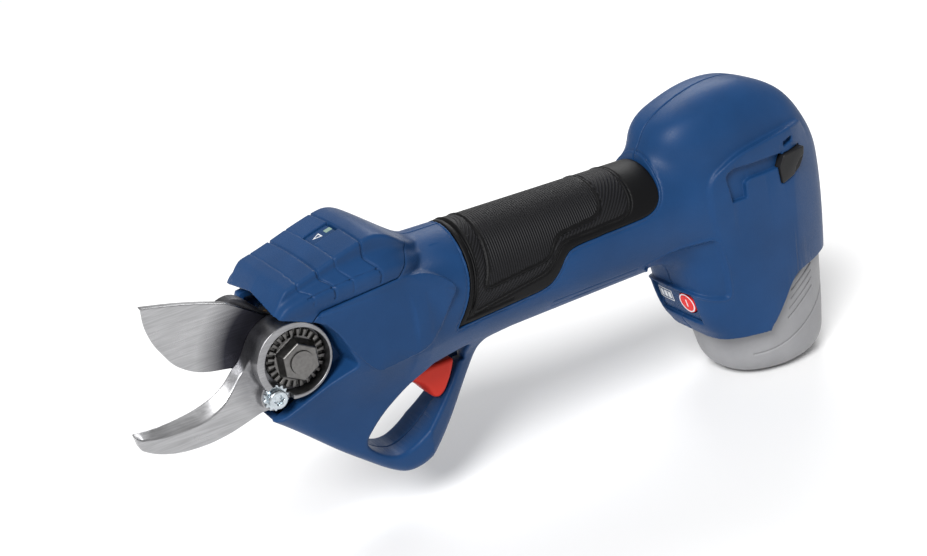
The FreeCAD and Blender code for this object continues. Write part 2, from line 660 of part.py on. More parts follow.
def rounded_hull(points, radius, low, high):
    """A prism whose outline goes round each point at a radius."""
    corners = [V(x, y, low) for x, y in points]
    face = Part.Face(Part.makePolygon(corners + corners[:1]))
    return face.makeOffset2D(radius).extrude(V(0, 0, high - low))


def cover_loft(shrink):
    """The head cover: a low ridged nose, a nearly flat top and stepped sides, lofted along X."""
    stations = [
        (-6.2, ((21.2, 18.6), (21.2, 19.4), (20.4, 20.4), (18.4, 21.2), 22.2)),
        (-2.4, ((22.6, 17.6), (22.8, 20.2), (20.8, 23.6), (18.8, 25.5), 27.0)),
        (3.0, ((24.0, 17.0), (24.3, 21.5), (21.4, 25.0), (19.0, 27.2), 28.8)),
        (24.0, ((24.2, 17.4), (24.5, 24.2), (21.2, 30.2), (18.8, 33.5), 34.4)),
        (32.0, ((24.0, 18.6), (24.2, 24.6), (21.0, 30.4), (18.2, 34.2), 35.4)),
        (40.0, ((22.4, 20.0), (22.4, 23.6), (19.0, 28.0), (15.5, 30.8), 31.6)),
        (47.5, ((19.5, 20.5), (19.0, 22.0), (15.5, 24.5), (12.0, 26.2), 26.8)),
    ]
    wires = []
    for x, (*side, top) in stations:
        near = [V(x, y - shrink, z - (shrink if index > 1 else 0)) for index, (y, z) in enumerate(side)]
        far = [V(x, -point.y, point.z) for point in near[::-1]]
        corners = near + [V(x, 0, top - shrink)] + far
        wires.append(Part.makePolygon(corners + corners[:1]))
    return Part.makeLoft(wires, True, True)


WINDOW_X, WINDOW_Y = (13.5, 26.5), 4.6


def head_cover():
    """The lid over the gear head, with a seat for the status window."""
    hollow = cover_loft(WALL)
    inside = brick(-30, 44, -30, 30, 10, 60)
    lid = cover_loft(0).cut(hollow.common(inside))
    lid = lid.cut(united([head_block(HEAD_SIDE, 0, -20, 90), handle_loft(0)]))
    lid = lid.cut(brick(*WINDOW_X, -WINDOW_Y, WINDOW_Y, 25, 60))
    return max(lid.Solids, key=lambda solid: solid.Volume)


def status_window():
    return cover_loft(0.4).cut(cover_loft(WALL)).common(brick(*WINDOW_X, -WINDOW_Y, WINDOW_Y, 25, 60))


shape_part("head_cover", head_cover())
shape_part("status_window", status_window())
keep(block("18", "12", "1.6", "10", "-6", "24.6"), "status_board")

TRIGGER_SLOT = (38.0, 64.6, -5.2, 5.2, -26.0, -15.0)
SWITCH_POCKET = (60.0, 74.0, -3.5, 3.5, -20.2, -14.0)
trigger_x, trigger_z = size("trigger_pivot_x"), size("trigger_pivot_z")


def shells():
    """Both housing halves, with screw bosses, pin posts and every seat cut out."""
    whole = united([head_block(HEAD_SIDE, 0, -20, 90), handle_loft(0), rear_loft(0, -55)])
    posts = screw_bosses().fuse(drum("y", 3.4, -14, 14, x=trigger_x, z=trigger_z)).common(whole)
    solid = housing().fuse(posts)
    band = handle_loft(-0.5).cut(handle_loft(size("rubber_thickness"))).common(grip_region())
    tools = [
        screw_holes(),
        brick(*TRIGGER_SLOT),
        brick(*SWITCH_POCKET),
        drum("y", size("trigger_pin_radius"), -12, 12, x=trigger_x, z=trigger_z),
        band,
    ]
    for tool in tools:
        solid = solid.cut(tool)
    left = solid.common(brick(-50, 300, -60, 0, -100, 100))
    right = solid.common(brick(-50, 300, 0, 60, -100, 100))
    return [max(half.Solids, key=lambda piece: piece.Volume) for half in (left, right)]


left_half, right_half = shells()
shape_part("left_housing", left_half)
shape_part("right_housing", right_half)
shape_part("housing_screws", housing_screws())
grip = handle_loft(0).cut(handle_loft(size("rubber_thickness"))).common(grip_region())
shape_part("grip_rubber", max(grip.Solids, key=lambda piece: piece.Volume))

# ---------------------------------------------------------------- trigger and controls
def trigger():
    """A curved finger lever on a pin, with a rear arm under the switch."""
    outline = [(40.5, -23.2), (42.4, -28.2), (46.4, -35.0, 52.4, -38.8), (54.8, -36.8), (58.2, -30.7),
               (60.6, -25.4), (60.2, -24.7), (44.0, -24.7)]
    half = size("trigger_width") / 2
    lever = slab_xz(outline, -half, half)
    web = slab_xz([(38.6, -19.6), (40.4, -25), (46, -25), (43.6, -19.6)], -half, half)
    eye = drum("y", 3.0, -half, half, x=trigger_x, z=trigger_z)
    bore_radius = size("trigger_pin_radius") + size("running_clearance")
    bore = drum("y", bore_radius, -half, half, x=trigger_x, z=trigger_z)
    return united([lever, web, eye]).cut(bore)


def coil_spring(radius, wire, x, low, high, turns):
    """A helical compression spring standing on Z."""
    height = high - low - wire
    helix = Part.makeHelix(height / turns, height, radius)
    profile = Part.Wire([Part.Circle(V(radius, 0, 0), V(0, 1, 0), wire / 2).toShape()])
    coil = Part.Wire(helix.Edges).makePipeShell([profile], True, True)
    return moved(coil, x, 0, low + wire / 2)


shape_part("trigger", trigger())
keep(rod("y", "Sizes.trigger_pin_radius", "24", "Sizes.trigger_pivot_x", "-12",
         "Sizes.trigger_pivot_z"), "trigger_pin")
shape_part("trigger_spring", coil_spring(2.2, 0.6, 49.0, -24.6, -16.6, 5))
switch_base = block("Sizes.switch_length", "Sizes.switch_width", "Sizes.switch_height", "Sizes.switch_x",
                    "-Sizes.switch_width / 2", "Sizes.switch_z")
switch_tab = block("4", "Sizes.switch_width", "2", "Sizes.switch_x + Sizes.switch_length",
                   "-Sizes.switch_width / 2", "Sizes.switch_z + 1")
keep(fuse(switch_base, switch_tab), "trigger_switch")


def front_skin(outer, inner, window):
    """A plate that follows the rear housing's front face, between two depths below it."""
    return rear_loft(outer, -55).cut(rear_loft(inner, -60)).common(brick(*window))


def control_panel():
    hole = drum("x", size("button_radius") + 0.25, 150, 180, y=size("button_y"), z=size("button_z"))
    relief = drum("x", size("button_radius") + 1.5, 168.9, 180, y=size("button_y"), z=size("button_z"))
    return front_skin(0.7, 2.2, PANEL).cut(hole.fuse(relief)).cut(brick(*LAMP).cut(rear_loft(1.5, -60)))


shape_part("control_panel", control_panel())
shape_part("charge_indicator", front_skin(0.7, 1.5, LAMP))
button_cap = rod("x", "Sizes.button_radius", "Sizes.button_flange_x - Sizes.button_front_x",
                 "Sizes.button_front_x", "Sizes.button_y", "Sizes.button_z")
button_flange = rod("x", "Sizes.button_radius + 1", "0.8", "Sizes.button_flange_x", "Sizes.button_y",
                    "Sizes.button_z")
keep(fuse(button_cap, button_flange), "power_button")
keep(rod("x", "2.6", "1.2", "Sizes.board_x - 1.2", "Sizes.button_y", "Sizes.button_z"), "button_dome")
keep(block("1.6", "22", "17", "Sizes.board_x", "-11", "-47"), "panel_board")

# ---------------------------------------------------------------- battery and its latches
CELLS = [(190.7, -6.9), (211.3, -6.9), (201.0, 7.9)]
BLADES = [(187.0, 4.0), (187.0, -6.0), (204.0, 0.0)]


def battery_stem(radius, low, high):
    return rounded_hull(CELLS, radius, low, high)


def oval_prism(centre, half_x, half_y, low, high):
    return Part.Face(oval("z", V(centre, 0, low), half_x, half_y)).extrude(V(0, 0, high - low))


def battery_case():
    joint, top = size("battery_joint_z"), size("battery_top_z")
    body = oval_prism(201, 25.2, 17.9, joint, -36)
    stem = battery_stem(size("cell_radius") + size("cell_wall"), joint, top)
    solid = united([body, stem])
    cell_top = size("cell_bottom_z") + size("cell_length")
    bores = [drum("z", size("cell_radius") + 0.1, joint, cell_top + 0.2, x=x, y=y) for x, y in CELLS]
    slots = [brick(x - 3.5, x + 3.5, y - 0.8, y + 0.8, top - 3.4, top + 1) for x, y in BLADES]
    return solid.cut(bores[0].multiFuse(bores[1:] + slots))


BATTERY_GRIP = [(190.5, -57.2), (198, -47.6), (204, -38), (207, -35.3), (245, -34), (245, -57.2)]


def battery_base():
    """The hollow foot and the rear grip that shows in the housing's notch."""
    floor, joint = size("battery_floor_z"), size("battery_joint_z")
    foot = oval_prism(201.6, 28.4, 20.6, floor, joint)
    foot = foot.makeFillet(5.0, [edge for edge in foot.Edges if edge.BoundBox.ZMax < floor + 0.1])
    grip = oval_prism(201.6, 28.6, 21.8, joint, -30).common(slab_xz(BATTERY_GRIP, -40, 40))
    grip = grip.cut(oval_prism(201, 25.2, 17.9, joint - 1, -30))
    grip = grip.cut(battery_stem(size("cell_radius") + size("cell_wall"), joint - 1, -20))
    room = oval_prism(201.6, 24.5, 16.6, floor + 2.2, joint - 1.2)
    return united([foot, grip]).cut(room)


shape_part("battery_case", battery_case())
shape_part("battery_base", battery_base())
shape_part("battery_cells", Part.makeCompound(
    [drum("z", size("cell_radius"), size("cell_bottom_z"), size("cell_bottom_z") + size("cell_length"),
          x=x, y=y) for x, y in CELLS]))
keep(block("34", "22", "1.6", "185", "-11", "-68"), "battery_board")
terminal_plate = block("26", "36", "3", "180", "-18", "16")
terminal_blades = [block("5", "0.8", "7.8", f"{x - 2.5}", f"{y - 0.4}", "8.4") for x, y in BLADES]
keep(fuse(terminal_plate, *terminal_blades), "terminal_block")


def latch(side):
    """A push latch: a fingertip pad that reaches in to the battery."""
    face, inner = size("latch_face_y"), size("latch_inner_y")
    half_x, half_z = size("latch_length") / 2, size("latch_height") / 2
    x, z = size("latch_x"), size("latch_z")
    low, high = sorted((side * inner, side * face))
    return brick(x - half_x, x + half_x, low, high, z - half_z, z + half_z)


shape_part("left_latch", latch(-1))
shape_part("right_latch", latch(1))

# ---------------------------------------------------------------- check and write
doc.recompute()
for item in doc.Objects:
    if "Invalid" in item.State or "Error" in item.State:
        raise RuntimeError(f"{item.Label} failed: {item.State}")
os.makedirs("parts", exist_ok=True)
for item in PARTS:
    shape = item.Shape
    if shape.isNull() or not shape.isValid() or not shape.Solids:
        raise RuntimeError(f"{item.Label} has no valid solid")
    shape.exportStep(f"parts/{item.Label}.step")
    box = shape.BoundBox
    print(f"{item.Label:18s} solids {len(shape.Solids):2d} volume {shape.Volume:9.1f}  x {box.XMin:7.2f} "
          f"{box.XMax:7.2f}  y {box.YMin:6.2f} {box.YMax:6.2f}  z {box.ZMin:6.2f} {box.ZMax:6.2f}")
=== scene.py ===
import copy
import json
import math

import bpy
import numpy as np
import openvdb
from mathutils import Matrix, Vector


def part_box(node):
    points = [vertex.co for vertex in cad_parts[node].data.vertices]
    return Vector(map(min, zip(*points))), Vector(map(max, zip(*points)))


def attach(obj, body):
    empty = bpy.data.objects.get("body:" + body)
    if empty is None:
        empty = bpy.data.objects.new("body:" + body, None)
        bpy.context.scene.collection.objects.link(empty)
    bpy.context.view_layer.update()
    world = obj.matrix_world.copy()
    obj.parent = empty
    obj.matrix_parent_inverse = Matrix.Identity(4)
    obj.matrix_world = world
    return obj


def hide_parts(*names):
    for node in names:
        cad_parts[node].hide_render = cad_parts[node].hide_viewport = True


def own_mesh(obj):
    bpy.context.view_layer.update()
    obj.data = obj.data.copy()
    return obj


# Looks of the battery pruner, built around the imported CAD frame.
# Shapes are distance fields in millimetres from the blade pivot, negative inside, with w the distance
# out from the parting plane: w = -y on the near (left) side and w = y on the far (right) side.
# A factor after a slanted face's bracket keeps its field close to true distance.

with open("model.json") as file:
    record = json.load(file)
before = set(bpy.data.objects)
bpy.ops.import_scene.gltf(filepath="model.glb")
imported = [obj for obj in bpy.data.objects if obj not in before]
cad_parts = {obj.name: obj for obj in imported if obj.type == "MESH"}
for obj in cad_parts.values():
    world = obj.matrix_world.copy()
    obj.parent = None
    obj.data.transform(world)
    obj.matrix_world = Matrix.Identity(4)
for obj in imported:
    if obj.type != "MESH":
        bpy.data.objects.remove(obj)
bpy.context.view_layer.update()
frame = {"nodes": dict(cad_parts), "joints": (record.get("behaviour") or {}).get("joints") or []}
MM = 0.001
joints = {joint["name"]: joint for joint in frame["joints"]}
PIVOT = Vector(joints["blade_pivot"]["pos_m"])
PIVOT.y = 0.0


def axis_of(node):
    """The x and z of a CAD node's middle, in millimetres from the pivot."""
    low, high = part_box(node)
    middle = ((low + high) / 2 - PIVOT) / MM
    return round(middle.x, 3), round(middle.z, 3)


LOCK_SCREW = axis_of("lock_screw")
TRIGGER_PIN = axis_of("trigger_pin")


# ---------------------------------------------------------------- distance fields
class Space:
    """A box of space sampled on a grid: x, w and z broadcast against each other."""

    def __init__(self, low, high, step):
        self.low = np.array(low, float)
        self.step = step
        self.x, self.w, self.z = np.meshgrid(
            *[np.arange(a, b + step, step, dtype=np.float32) for a, b in zip(low, high)],
            indexing="ij", sparse=True)

    def folded(self):
        """The same box with y turned into the distance out from the parting plane."""
        space = copy.copy(self)
        space.w = np.abs(self.w)
        return space

    def after(self, count):
        """The part of the box from this many steps along x."""
        space = copy.copy(self)
        space.low = self.low + np.array((count * self.step, 0, 0))
        space.x = self.x[count:]
        return space

    def from_axis(self, axis=(0.0, 0.0)):
        """The distance from a line across the parting plane, through this x and z."""
        return np.hypot(self.x - axis[0], self.z - axis[1])


def blend(a, b, k):
    """The union of two fields, with a fillet about k wide."""
    h = np.maximum(k - np.abs(a - b), 0.0)
    return np.minimum(a, b) - h * h / (4 * k)


def meet(a, b, k):
    """The intersection of two fields, with a rounded edge about k wide."""
    return -blend(-a, -b, k)


def rounded(points, radius):
    """A closed outline with every corner rounded; a point's third number is its own radius."""
    steps = 5
    longest = 0.48
    result = []
    for index, point in enumerate(points):
        corner = Vector(point[:2])
        reach = point[2] if len(point) == 3 else radius
        ends = []
        for other in (points[index - 1], points[(index + 1) % len(points)]):
            edge = Vector(other[:2]) - corner
            ends.append(corner + edge.normalized() * min(reach, edge.length * longest))
        for step in range(steps + 1):
            t = step / steps
            spot = ends[0] * (1 - t) ** 2 + corner * (2 * t * (1 - t)) + ends[1] * t ** 2
            result.append((spot.x, spot.y))
    return result


def outline(points, u, v):
    """Signed distance to a closed outline, negative inside."""
    nearest = None
    inside = np.zeros(np.broadcast_shapes(u.shape, v.shape), bool)
    for (ax, ay), (bx, by) in zip(points, points[1:] + points[:1]):
        ex, ey = bx - ax, by - ay
        t = np.clip(((u - ax) * ex + (v - ay) * ey) / (ex * ex + ey * ey + 1e-9), 0, 1)
        gap = (u - ax - ex * t) ** 2 + (v - ay - ey * t) ** 2
        nearest = gap if nearest is None else np.minimum(nearest, gap)
        if ey:
            inside ^= ((ay > v) != (by > v)) & (u < ax + (v - ay) * (ex / ey))
    return np.where(inside, -1, 1).astype(np.float32) * np.sqrt(nearest)


def profile(points, t):
    """A smooth curve through about these (t, value) points: each pass cuts the corners at a quarter."""
    for _ in range(3):
        cut = [points[0]]
        for (a, p), (b, q) in zip(points, points[1:]):
            cut.append((a * 0.75 + b * 0.25, p * 0.75 + q * 0.25))
            cut.append((a * 0.25 + b * 0.75, p * 0.25 + q * 0.75))
        points = cut + [points[-1]]
    return np.interp(t, *zip(*points)).astype(np.float32)


def slab(value, low, high):
    """The space where a coordinate lies between two values."""
    return np.maximum(low - value, value - high)


def brick(space, x_range, w_range, z_range):
    """A box between two values of each coordinate."""
    sides = np.maximum(slab(space.w, *w_range), slab(space.z, *z_range))
    return np.maximum(slab(space.x, *x_range), sides)


def drum(space, radius, low, high, axis=(0.0, 0.0)):
    """A cylinder across the parting plane, from one w to another."""
    return np.maximum(space.from_axis(axis) - radius, slab(space.w, low, high))


def oval(u, v, power, size):
    """An oval whose ends are at u and v of 1: a higher power is squarer, and size scales the distance."""
    return ((np.abs(u) ** power + np.abs(v) ** power) ** (1 / power) - 1) * size


def layer(field, top, bottom):
    """The part of a solid between two depths below its surface."""
    return np.maximum(field + top, -(field + bottom))


def pocket(field, shape, depth):
    """Sinks a pocket of even depth into a surface, where the shape field is negative."""
    return np.maximum(field, np.minimum(-shape, field + depth))


def groove(field, line, width, depth):
    """Cuts a groove into a surface along the zero of a line field."""
    return pocket(field, np.abs(line) - width / 2, depth)


def ridge(field, line, width, height):
    """Raises a low rounded ridge on a surface along the zero of a line field."""
    rise = np.clip(1 - np.abs(line) * 2 / width, 0, 1)
    return field - height * rise * rise * (3 - 2 * rise)


def only_where(condition, line):
    """A line field that is far from zero wherever the condition doesn't hold."""
    return np.where(condition, line, 9.0)


# ---------------------------------------------------------------- meshes from fields
def new_object(name, data):
    """A new object in the scene."""
    obj = bpy.data.objects.new(name, data)
    bpy.context.scene.collection.objects.link(obj)
    return obj


def solid(name, field, space, side=1, faces=110000):
    """A mesh of a field's surface; side is -1 for a piece drawn with w on the near side."""
    far = 3 * space.step
    grid = openvdb.FloatGrid(far)
    grid.copyFromArray(np.ascontiguousarray(np.clip(field, -far, far), dtype=np.float32))
    points, quads = grid.convertToQuads(0.0)
    points = points * space.step + space.low
    points[:, 1] *= side
    if side < 0:
        quads = quads[:, ::-1]
    points = points * MM + np.array(PIVOT)
    mesh = bpy.data.meshes.new(name)
    mesh.vertices.add(len(points))
    mesh.vertices.foreach_set("co", points.astype(np.float32).ravel())
    mesh.loops.add(quads.size)
    mesh.loops.foreach_set("vertex_index", quads.astype(np.int32).ravel())
    mesh.polygons.add(len(quads))
    mesh.polygons.foreach_set("loop_start", np.arange(0, quads.size, 4, dtype=np.int32))
    mesh.update()
    mesh.validate()
    obj = new_object(name, mesh)
    triangles = len(quads) * 2
    if triangles > faces:
        thin = obj.modifiers.new("thin", "DECIMATE")
        thin.ratio = faces / triangles
        graph = bpy.context.evaluated_depsgraph_get()
        thinned = bpy.data.meshes.new_from_object(obj.evaluated_get(graph))
        obj.modifiers.clear()
        obj.data = thinned
    obj.data.polygons.foreach_set("use_smooth", np.ones(len(obj.data.polygons), bool))
    return obj


def finish_piece(obj, body, material, slot, *nodes):
    """Gives a piece its material and its body, and hides the CAD nodes that it stands for. The slot is not
    used.
    """
    obj.data.materials.clear()
    obj.data.materials.append(material)
    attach(obj, body)
    if nodes:
        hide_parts(*nodes)


# ---------------------------------------------------------------- materials
PLASTIC_SPECULAR, METAL_SPECULAR = 0.18, 0.5


class Finish:
    """A material, and the nodes that vary its Principled shader over the surface."""

    def __init__(self, name, color, roughness, metallic=0.0):
        self.material = bpy.data.materials.new(name)
        self.material.use_nodes = True
        self.tree = self.material.node_tree
        self.link = self.tree.links.new
        self.surface = self.tree.nodes["Principled BSDF"].inputs
        self.surface["Base Color"].default_value = (*color, 1)
        self.surface["Roughness"].default_value = roughness
        self.surface["Metallic"].default_value = metallic
        self.surface["Specular IOR Level"].default_value = METAL_SPECULAR if metallic else PLASTIC_SPECULAR

    def node(self, kind):
        """A new shader node of this kind."""
        return self.tree.nodes.new("ShaderNode" + kind)

    def noise(self, scale, detail=3.0, stretch=(1, 1, 1)):
        """Noise in object space: scale is in cells per metre."""
        mapping = self.node("Mapping")
        mapping.inputs["Scale"].default_value = stretch
        self.link(self.node("TexCoord").outputs["Object"], mapping.inputs["Vector"])
        texture = self.node("TexNoise")
        texture.inputs["Scale"].default_value = scale
        texture.inputs["Detail"].default_value = detail
        self.link(mapping.outputs["Vector"], texture.inputs["Vector"])
        return texture.outputs["Fac"]

    def ramp(self, source, low, high, start=0.3, end=0.7):
        """Turns a 0 to 1 value into a colour between two."""
        ramp = self.node("ValToRGB")
        for element, position, color in zip(ramp.color_ramp.elements, (start, end), (low, high)):
            element.position = position
            element.color = (*color, 1)
        self.link(source, ramp.inputs["Fac"])
        return ramp.outputs["Color"]

    def vary_roughness(self, source, low, high, start=0.3, end=0.7):
        """Lets a 0 to 1 value move the roughness between two."""
        self.link(self.ramp(source, [low] * 3, [high] * 3, start, end), self.surface["Roughness"])

    def darken_near(self, color, point, near, far, tint):
        """Tints a colour towards a point: full tint at the near distance in millimetres, none at the far."""
        away = self.node("VectorMath")
        away.operation = "DISTANCE"
        away.inputs[1].default_value = point
        self.link(self.node("TexCoord").outputs["Object"], away.inputs[0])
        share = self.node("MapRange")
        share.inputs["From Min"].default_value = near * MM
        share.inputs["From Max"].default_value = far * MM
        self.link(away.outputs["Value"], share.inputs["Value"])
        mix = self.node("Mix")
        mix.data_type = "RGBA"
        mix.blend_type = "MULTIPLY"
        mix.inputs["Factor"].default_value = 1.0
        self.link(color, mix.inputs["A"])
        self.link(self.ramp(share.outputs["Result"], tint, (1, 1, 1), 0.0, 1.0), mix.inputs["B"])
        return mix.outputs["Result"]

    def bump(self, height, strength, depth):
        """Raises the surface with a 0 to 1 height; depth is in metres."""
        bump = self.node("Bump")
        bump.inputs["Strength"].default_value = strength
        bump.inputs["Distance"].default_value = depth
        self.link(height, bump.inputs["Height"])
        self.link(bump.outputs["Normal"], self.surface["Normal"])


def moulded_plastic(name, color, roughness, grain):
    """Moulded plastic: a fine spark-eroded grain, with faint colour and gloss variation."""
    finish = Finish(name, color, roughness)
    dark = [channel * 0.88 for channel in color]
    light = [min(channel * 1.1, 1.0) for channel in color]
    finish.link(finish.ramp(finish.noise(45.0, 4.0), dark, light), finish.surface["Base Color"])
    fine = finish.noise(2600.0, 2.0)
    finish.vary_roughness(fine, roughness - 0.07, roughness + 0.09, 0.35, 0.65)
    finish.bump(fine, grain, 0.00012)
    return finish.material


def ribbed_rubber(name, color):
    """Grip rubber: fine ribs that follow the piece's rib_phase where its ribbed attribute is 1, with painted
    shade in their hollows and painted highlights on their crests.
    """
    finish = Finish(name, color, 0.5)
    phase = finish.node("Attribute")
    phase.attribute_name = "rib_phase"
    mask = finish.node("Attribute")
    mask.attribute_name = "ribbed"
    wave = finish.node("Math")
    wave.operation = "SINE"
    finish.link(phase.outputs["Fac"], wave.inputs[0])
    rise = finish.node("MapRange")
    rise.inputs["From Min"].default_value = -1.0
    finish.link(wave.outputs["Value"], rise.inputs["Value"])
    height = finish.node("Math")
    height.operation = "MULTIPLY"
    finish.link(rise.outputs["Result"], height.inputs[0])
    finish.link(mask.outputs["Fac"], height.inputs[1])
    finish.bump(height.outputs["Value"], 0.9, 0.00025)
    # The base colour follows the rib height: painted shade in the hollows, painted highlight on the crests.
    hollow = [channel * 0.45 for channel in color]
    crest_highlight = [channel * 2.4 for channel in color]
    finish.link(finish.ramp(height.outputs["Value"], hollow, crest_highlight, 0.0, 1.0), finish.surface["Base Color"])
    return finish.material


def brushed_steel(name, color, roughness, scale=1800.0, stretch=(0.05, 1, 1), near_pivot=None):
    """Ground metal: fine scratches, long along x, and cloudy gloss. near_pivot darkens it there."""
    finish = Finish(name, color, roughness, 1.0)
    scratches = finish.noise(scale, 3.0, stretch)
    low = [channel * 0.82 for channel in color]
    high = [min(channel * 1.08, 1.0) for channel in color]
    tone = finish.ramp(scratches, low, high)
    if near_pivot:
        tone = finish.darken_near(tone, PIVOT, *near_pivot)
    finish.link(tone, finish.surface["Base Color"])
    finish.vary_roughness(finish.noise(120.0), roughness - 0.08, roughness + 0.12)
    finish.bump(scratches, 0.25, 0.00005)
    return finish.material


def cast_metal(name, color, roughness, scale=900.0):
    """Metal with an even grain instead of scratches."""
    return brushed_steel(name, color, roughness, scale, (1, 1, 1))


RIB_PITCH = 0.95
FIELD_SLANT, BAND_SLANT = math.radians(-6), math.radians(-50)
BLUE = moulded_plastic("blue plastic", (0.009, 0.047, 0.142), 0.42, 0.5)
BLUE_GLOSS = moulded_plastic("blue window", (0.008, 0.042, 0.125), 0.25, 0.1)
RUBBER = ribbed_rubber("black rubber", (0.005, 0.005, 0.006))
RED = moulded_plastic("red plastic", (0.62, 0.035, 0.02), 0.38, 0.2)
RED_BUTTON = moulded_plastic("red button", (0.72, 0.03, 0.03), 0.35, 0.15)
BLACK = moulded_plastic("black plastic", (0.016, 0.016, 0.017), 0.35, 0.3)
GREY = moulded_plastic("grey plastic", (0.30, 0.30, 0.31), 0.45, 0.4)
WHITE = moulded_plastic("white print", (0.72, 0.74, 0.76), 0.5, 0.05)
LAMP = moulded_plastic("green lamp", (0.25, 0.36, 0.30), 0.25, 0.05)
BOARD = moulded_plastic("circuit board", (0.01, 0.12, 0.04), 0.4, 0.1)
CELL_WRAP = moulded_plastic("cell wrap", (0.03, 0.16, 0.10), 0.3, 0.05)
BLADE = brushed_steel("ground blade", (0.46, 0.46, 0.47), 0.3, near_pivot=(22.0, 32.0, (0.08, 0.08, 0.10)))
# The hook's colour is darkened from 14 to 26 mm around the pivot: painted shade around the nut's cup.
HOOK = brushed_steel("hook steel", (0.46, 0.46, 0.47), 0.33, near_pivot=(14.0, 26.0, (0.32, 0.32, 0.34)))
DARK_STEEL = cast_metal("dark steel", (0.19, 0.185, 0.18), 0.36)
ZINC = cast_metal("zinc", (0.60, 0.66, 0.70), 0.22)
BRONZE = cast_metal("bronze", (0.50, 0.30, 0.12), 0.35)
CAST = cast_metal("cast metal", (0.12, 0.12, 0.13), 0.5, 700.0)

# ---------------------------------------------------------------- camera
CAMERA_AT = Vector((-238.92, -440.29, 283.27)) * MM
AZIMUTH, ELEVATION, ROLL = map(math.radians, (-27.0, 22.5, 9.0))
camera_data = bpy.data.cameras.new("camera")
camera_data.lens = 58.25
camera_data.sensor_width = 36.0
camera_data.clip_start = 0.01
camera = new_object("camera", camera_data)
level = Vector((math.cos(AZIMUTH), math.sin(AZIMUTH), 0))
away = Vector((math.sin(AZIMUTH), -math.cos(AZIMUTH), 0))
back = away * math.cos(ELEVATION) + Vector((0, 0, math.sin(ELEVATION)))
lift = back.cross(level)
right = level * math.cos(ROLL) - lift * math.sin(ROLL)
up = level * math.sin(ROLL) + lift * math.cos(ROLL)
turn = Matrix((right, up, back)).transposed()
camera.matrix_world = Matrix.Translation(CAMERA_AT) @ turn.to_4x4()
bpy.context.scene.camera = camera
bpy.context.scene.view_settings.view_transform = "Standard"

# ---------------------------------------------------------------- housing outlines, x and z from the pivot
HEAD_SIDE = rounded([(-5.5, 17, 1), (42, 17.5, 3), (52, 16, 4), (70, 4, 6), (80, -12, 4), (76.3, -23.6, 6),
                     (67.6, -34.6, 8), (56.8, -49.5, 8), (45.8, -59.8, 10), (35.4, -61.9, 8),
                     (27.5, -57.0, 6), (11.3, -42.8, 6), (-5.8, -25.7, 6), (-13.5, -18.6, 2), (-10, 4, 6)], 2)
FINGER_HOLE = rounded([(38.5, -24.5, 3), (47, -19.8, 2), (66, -19.8, 3), (60, -32, 8), (51, -41, 8),
                       (43, -48, 8), (33, -52.6, 6), (25, -49, 5), (19.2, -42, 4), (27, -32.6, 8)], 4)
BADGE = rounded([(6.5, 16.9), (32.4, 19.0), (45.2, 18.6, 3), (51.5, 15.5, 3), (58.2, 9.4, 3), (49.2, -3.2, 3),
                 (42.6, -9.2, 4), (24.2, -10.8, 2), (21.0, -7.0), (12, 6)], 1)
BLADE_WELL = rounded([(-40, 34), (-3.0, 18.6, 3), (3.6, 14.9, 3), (9.6, 11.4, 3), (12.8, 6.6, 2),
                      (18.2, -6.6, 2), (-4.5, -17.4, 1), (-40, -33)], 1)
WELL_FLOOR = [(-30, -13), (-2, -13), (-2, -18), (-30, -26)]
NOTCH = rounded([(188, -80), (188.5, -56, 5), (196, -47, 8), (202, -37, 5), (206, -34.3, 4), (245, -33),
                 (245, -80)], 1)
REAR_PANEL = rounded([(178.5, -62), (174.4, -48.6, 8), (173.3, -32.9, 8), (171.9, -18.1, 8), (169.4, -1.3, 6),
                      (168.3, 13.5, 5), (178.9, 20.3, 8), (190.6, 22.5, 6), (214, 25.0, 6), (245, 26),
                      (245, -62)], 2)
LATCH_TRACK = rounded([(174.2, 13.6, 1.5), (177.2, 15.6, 1), (200.5, 15.6), (199.5, 10.3), (184.5, 9.9, 1),
                       (182.5, 8.8, 1), (182.8, 2.8), (176.2, 2.6)], 0.3)
LATCH_SIDE = rounded([(198.4, 10.2), (200.8, 14.6), (210.8, 15.6), (210.8, 11.1), (208.8, 7.5), (205.6, 5.3),
                      (199.5, 3.5)], 0.7)
SMALL_SLOT = rounded([(201.4, 19.4), (206.2, 20.6), (206.5, 18.6), (201.8, 17.4)], 0.4)
CHEEK = rounded([(138, -13), (145.6, -19, 5), (153, -27.5, 6), (163.0, -34.2, 4), (173.4, -36.4, 3),
                 (172.4, -22, 5), (169.3, -10.6, 3), (152.5, -10.6, 3)], 3)
GRIP = rounded([(67.2, 40), (66.3, 30, 10), (65.2, 12, 8), (62.6, 2.5, 5), (56.4, -7.6, 1.5), (94.5, -5.2, 6),
                (99.0, -1.8, 3), (104.0, 5.0, 4), (108.5, 6.3, 5), (143, 7.2, 6), (149.2, 12.5, 6),
                (152, 40)], 1)
RIB_OUTER = rounded([(71, 40), (70.2, 30, 10), (68.4, 12, 10), (63.4, -3.3, 2), (95.6, 1.6, 4),
                     (102.4, 9.5, 4), (132.7, 10.3, 5), (136.3, 15.5, 5), (138, 40)], 1)
RIB_INNER = rounded([(77, 40), (76, 30, 10), (73.5, 12, 10), (69.6, 3.4, 2), (96.9, 5.6, 4),
                     (101.4, 12.2, 4), (120.5, 13.2, 5), (124.6, 17.5, 5), (126, 40)], 1)
LID_EDGE = rounded([(-30, 24), (-6.5, 18.9), (4.4, 14.1), (8, 16.9), (36.5, 19.4), (41.5, 25, 3), (47.5, 31),
                    (47.5, 60), (-30, 60)], 0.5)

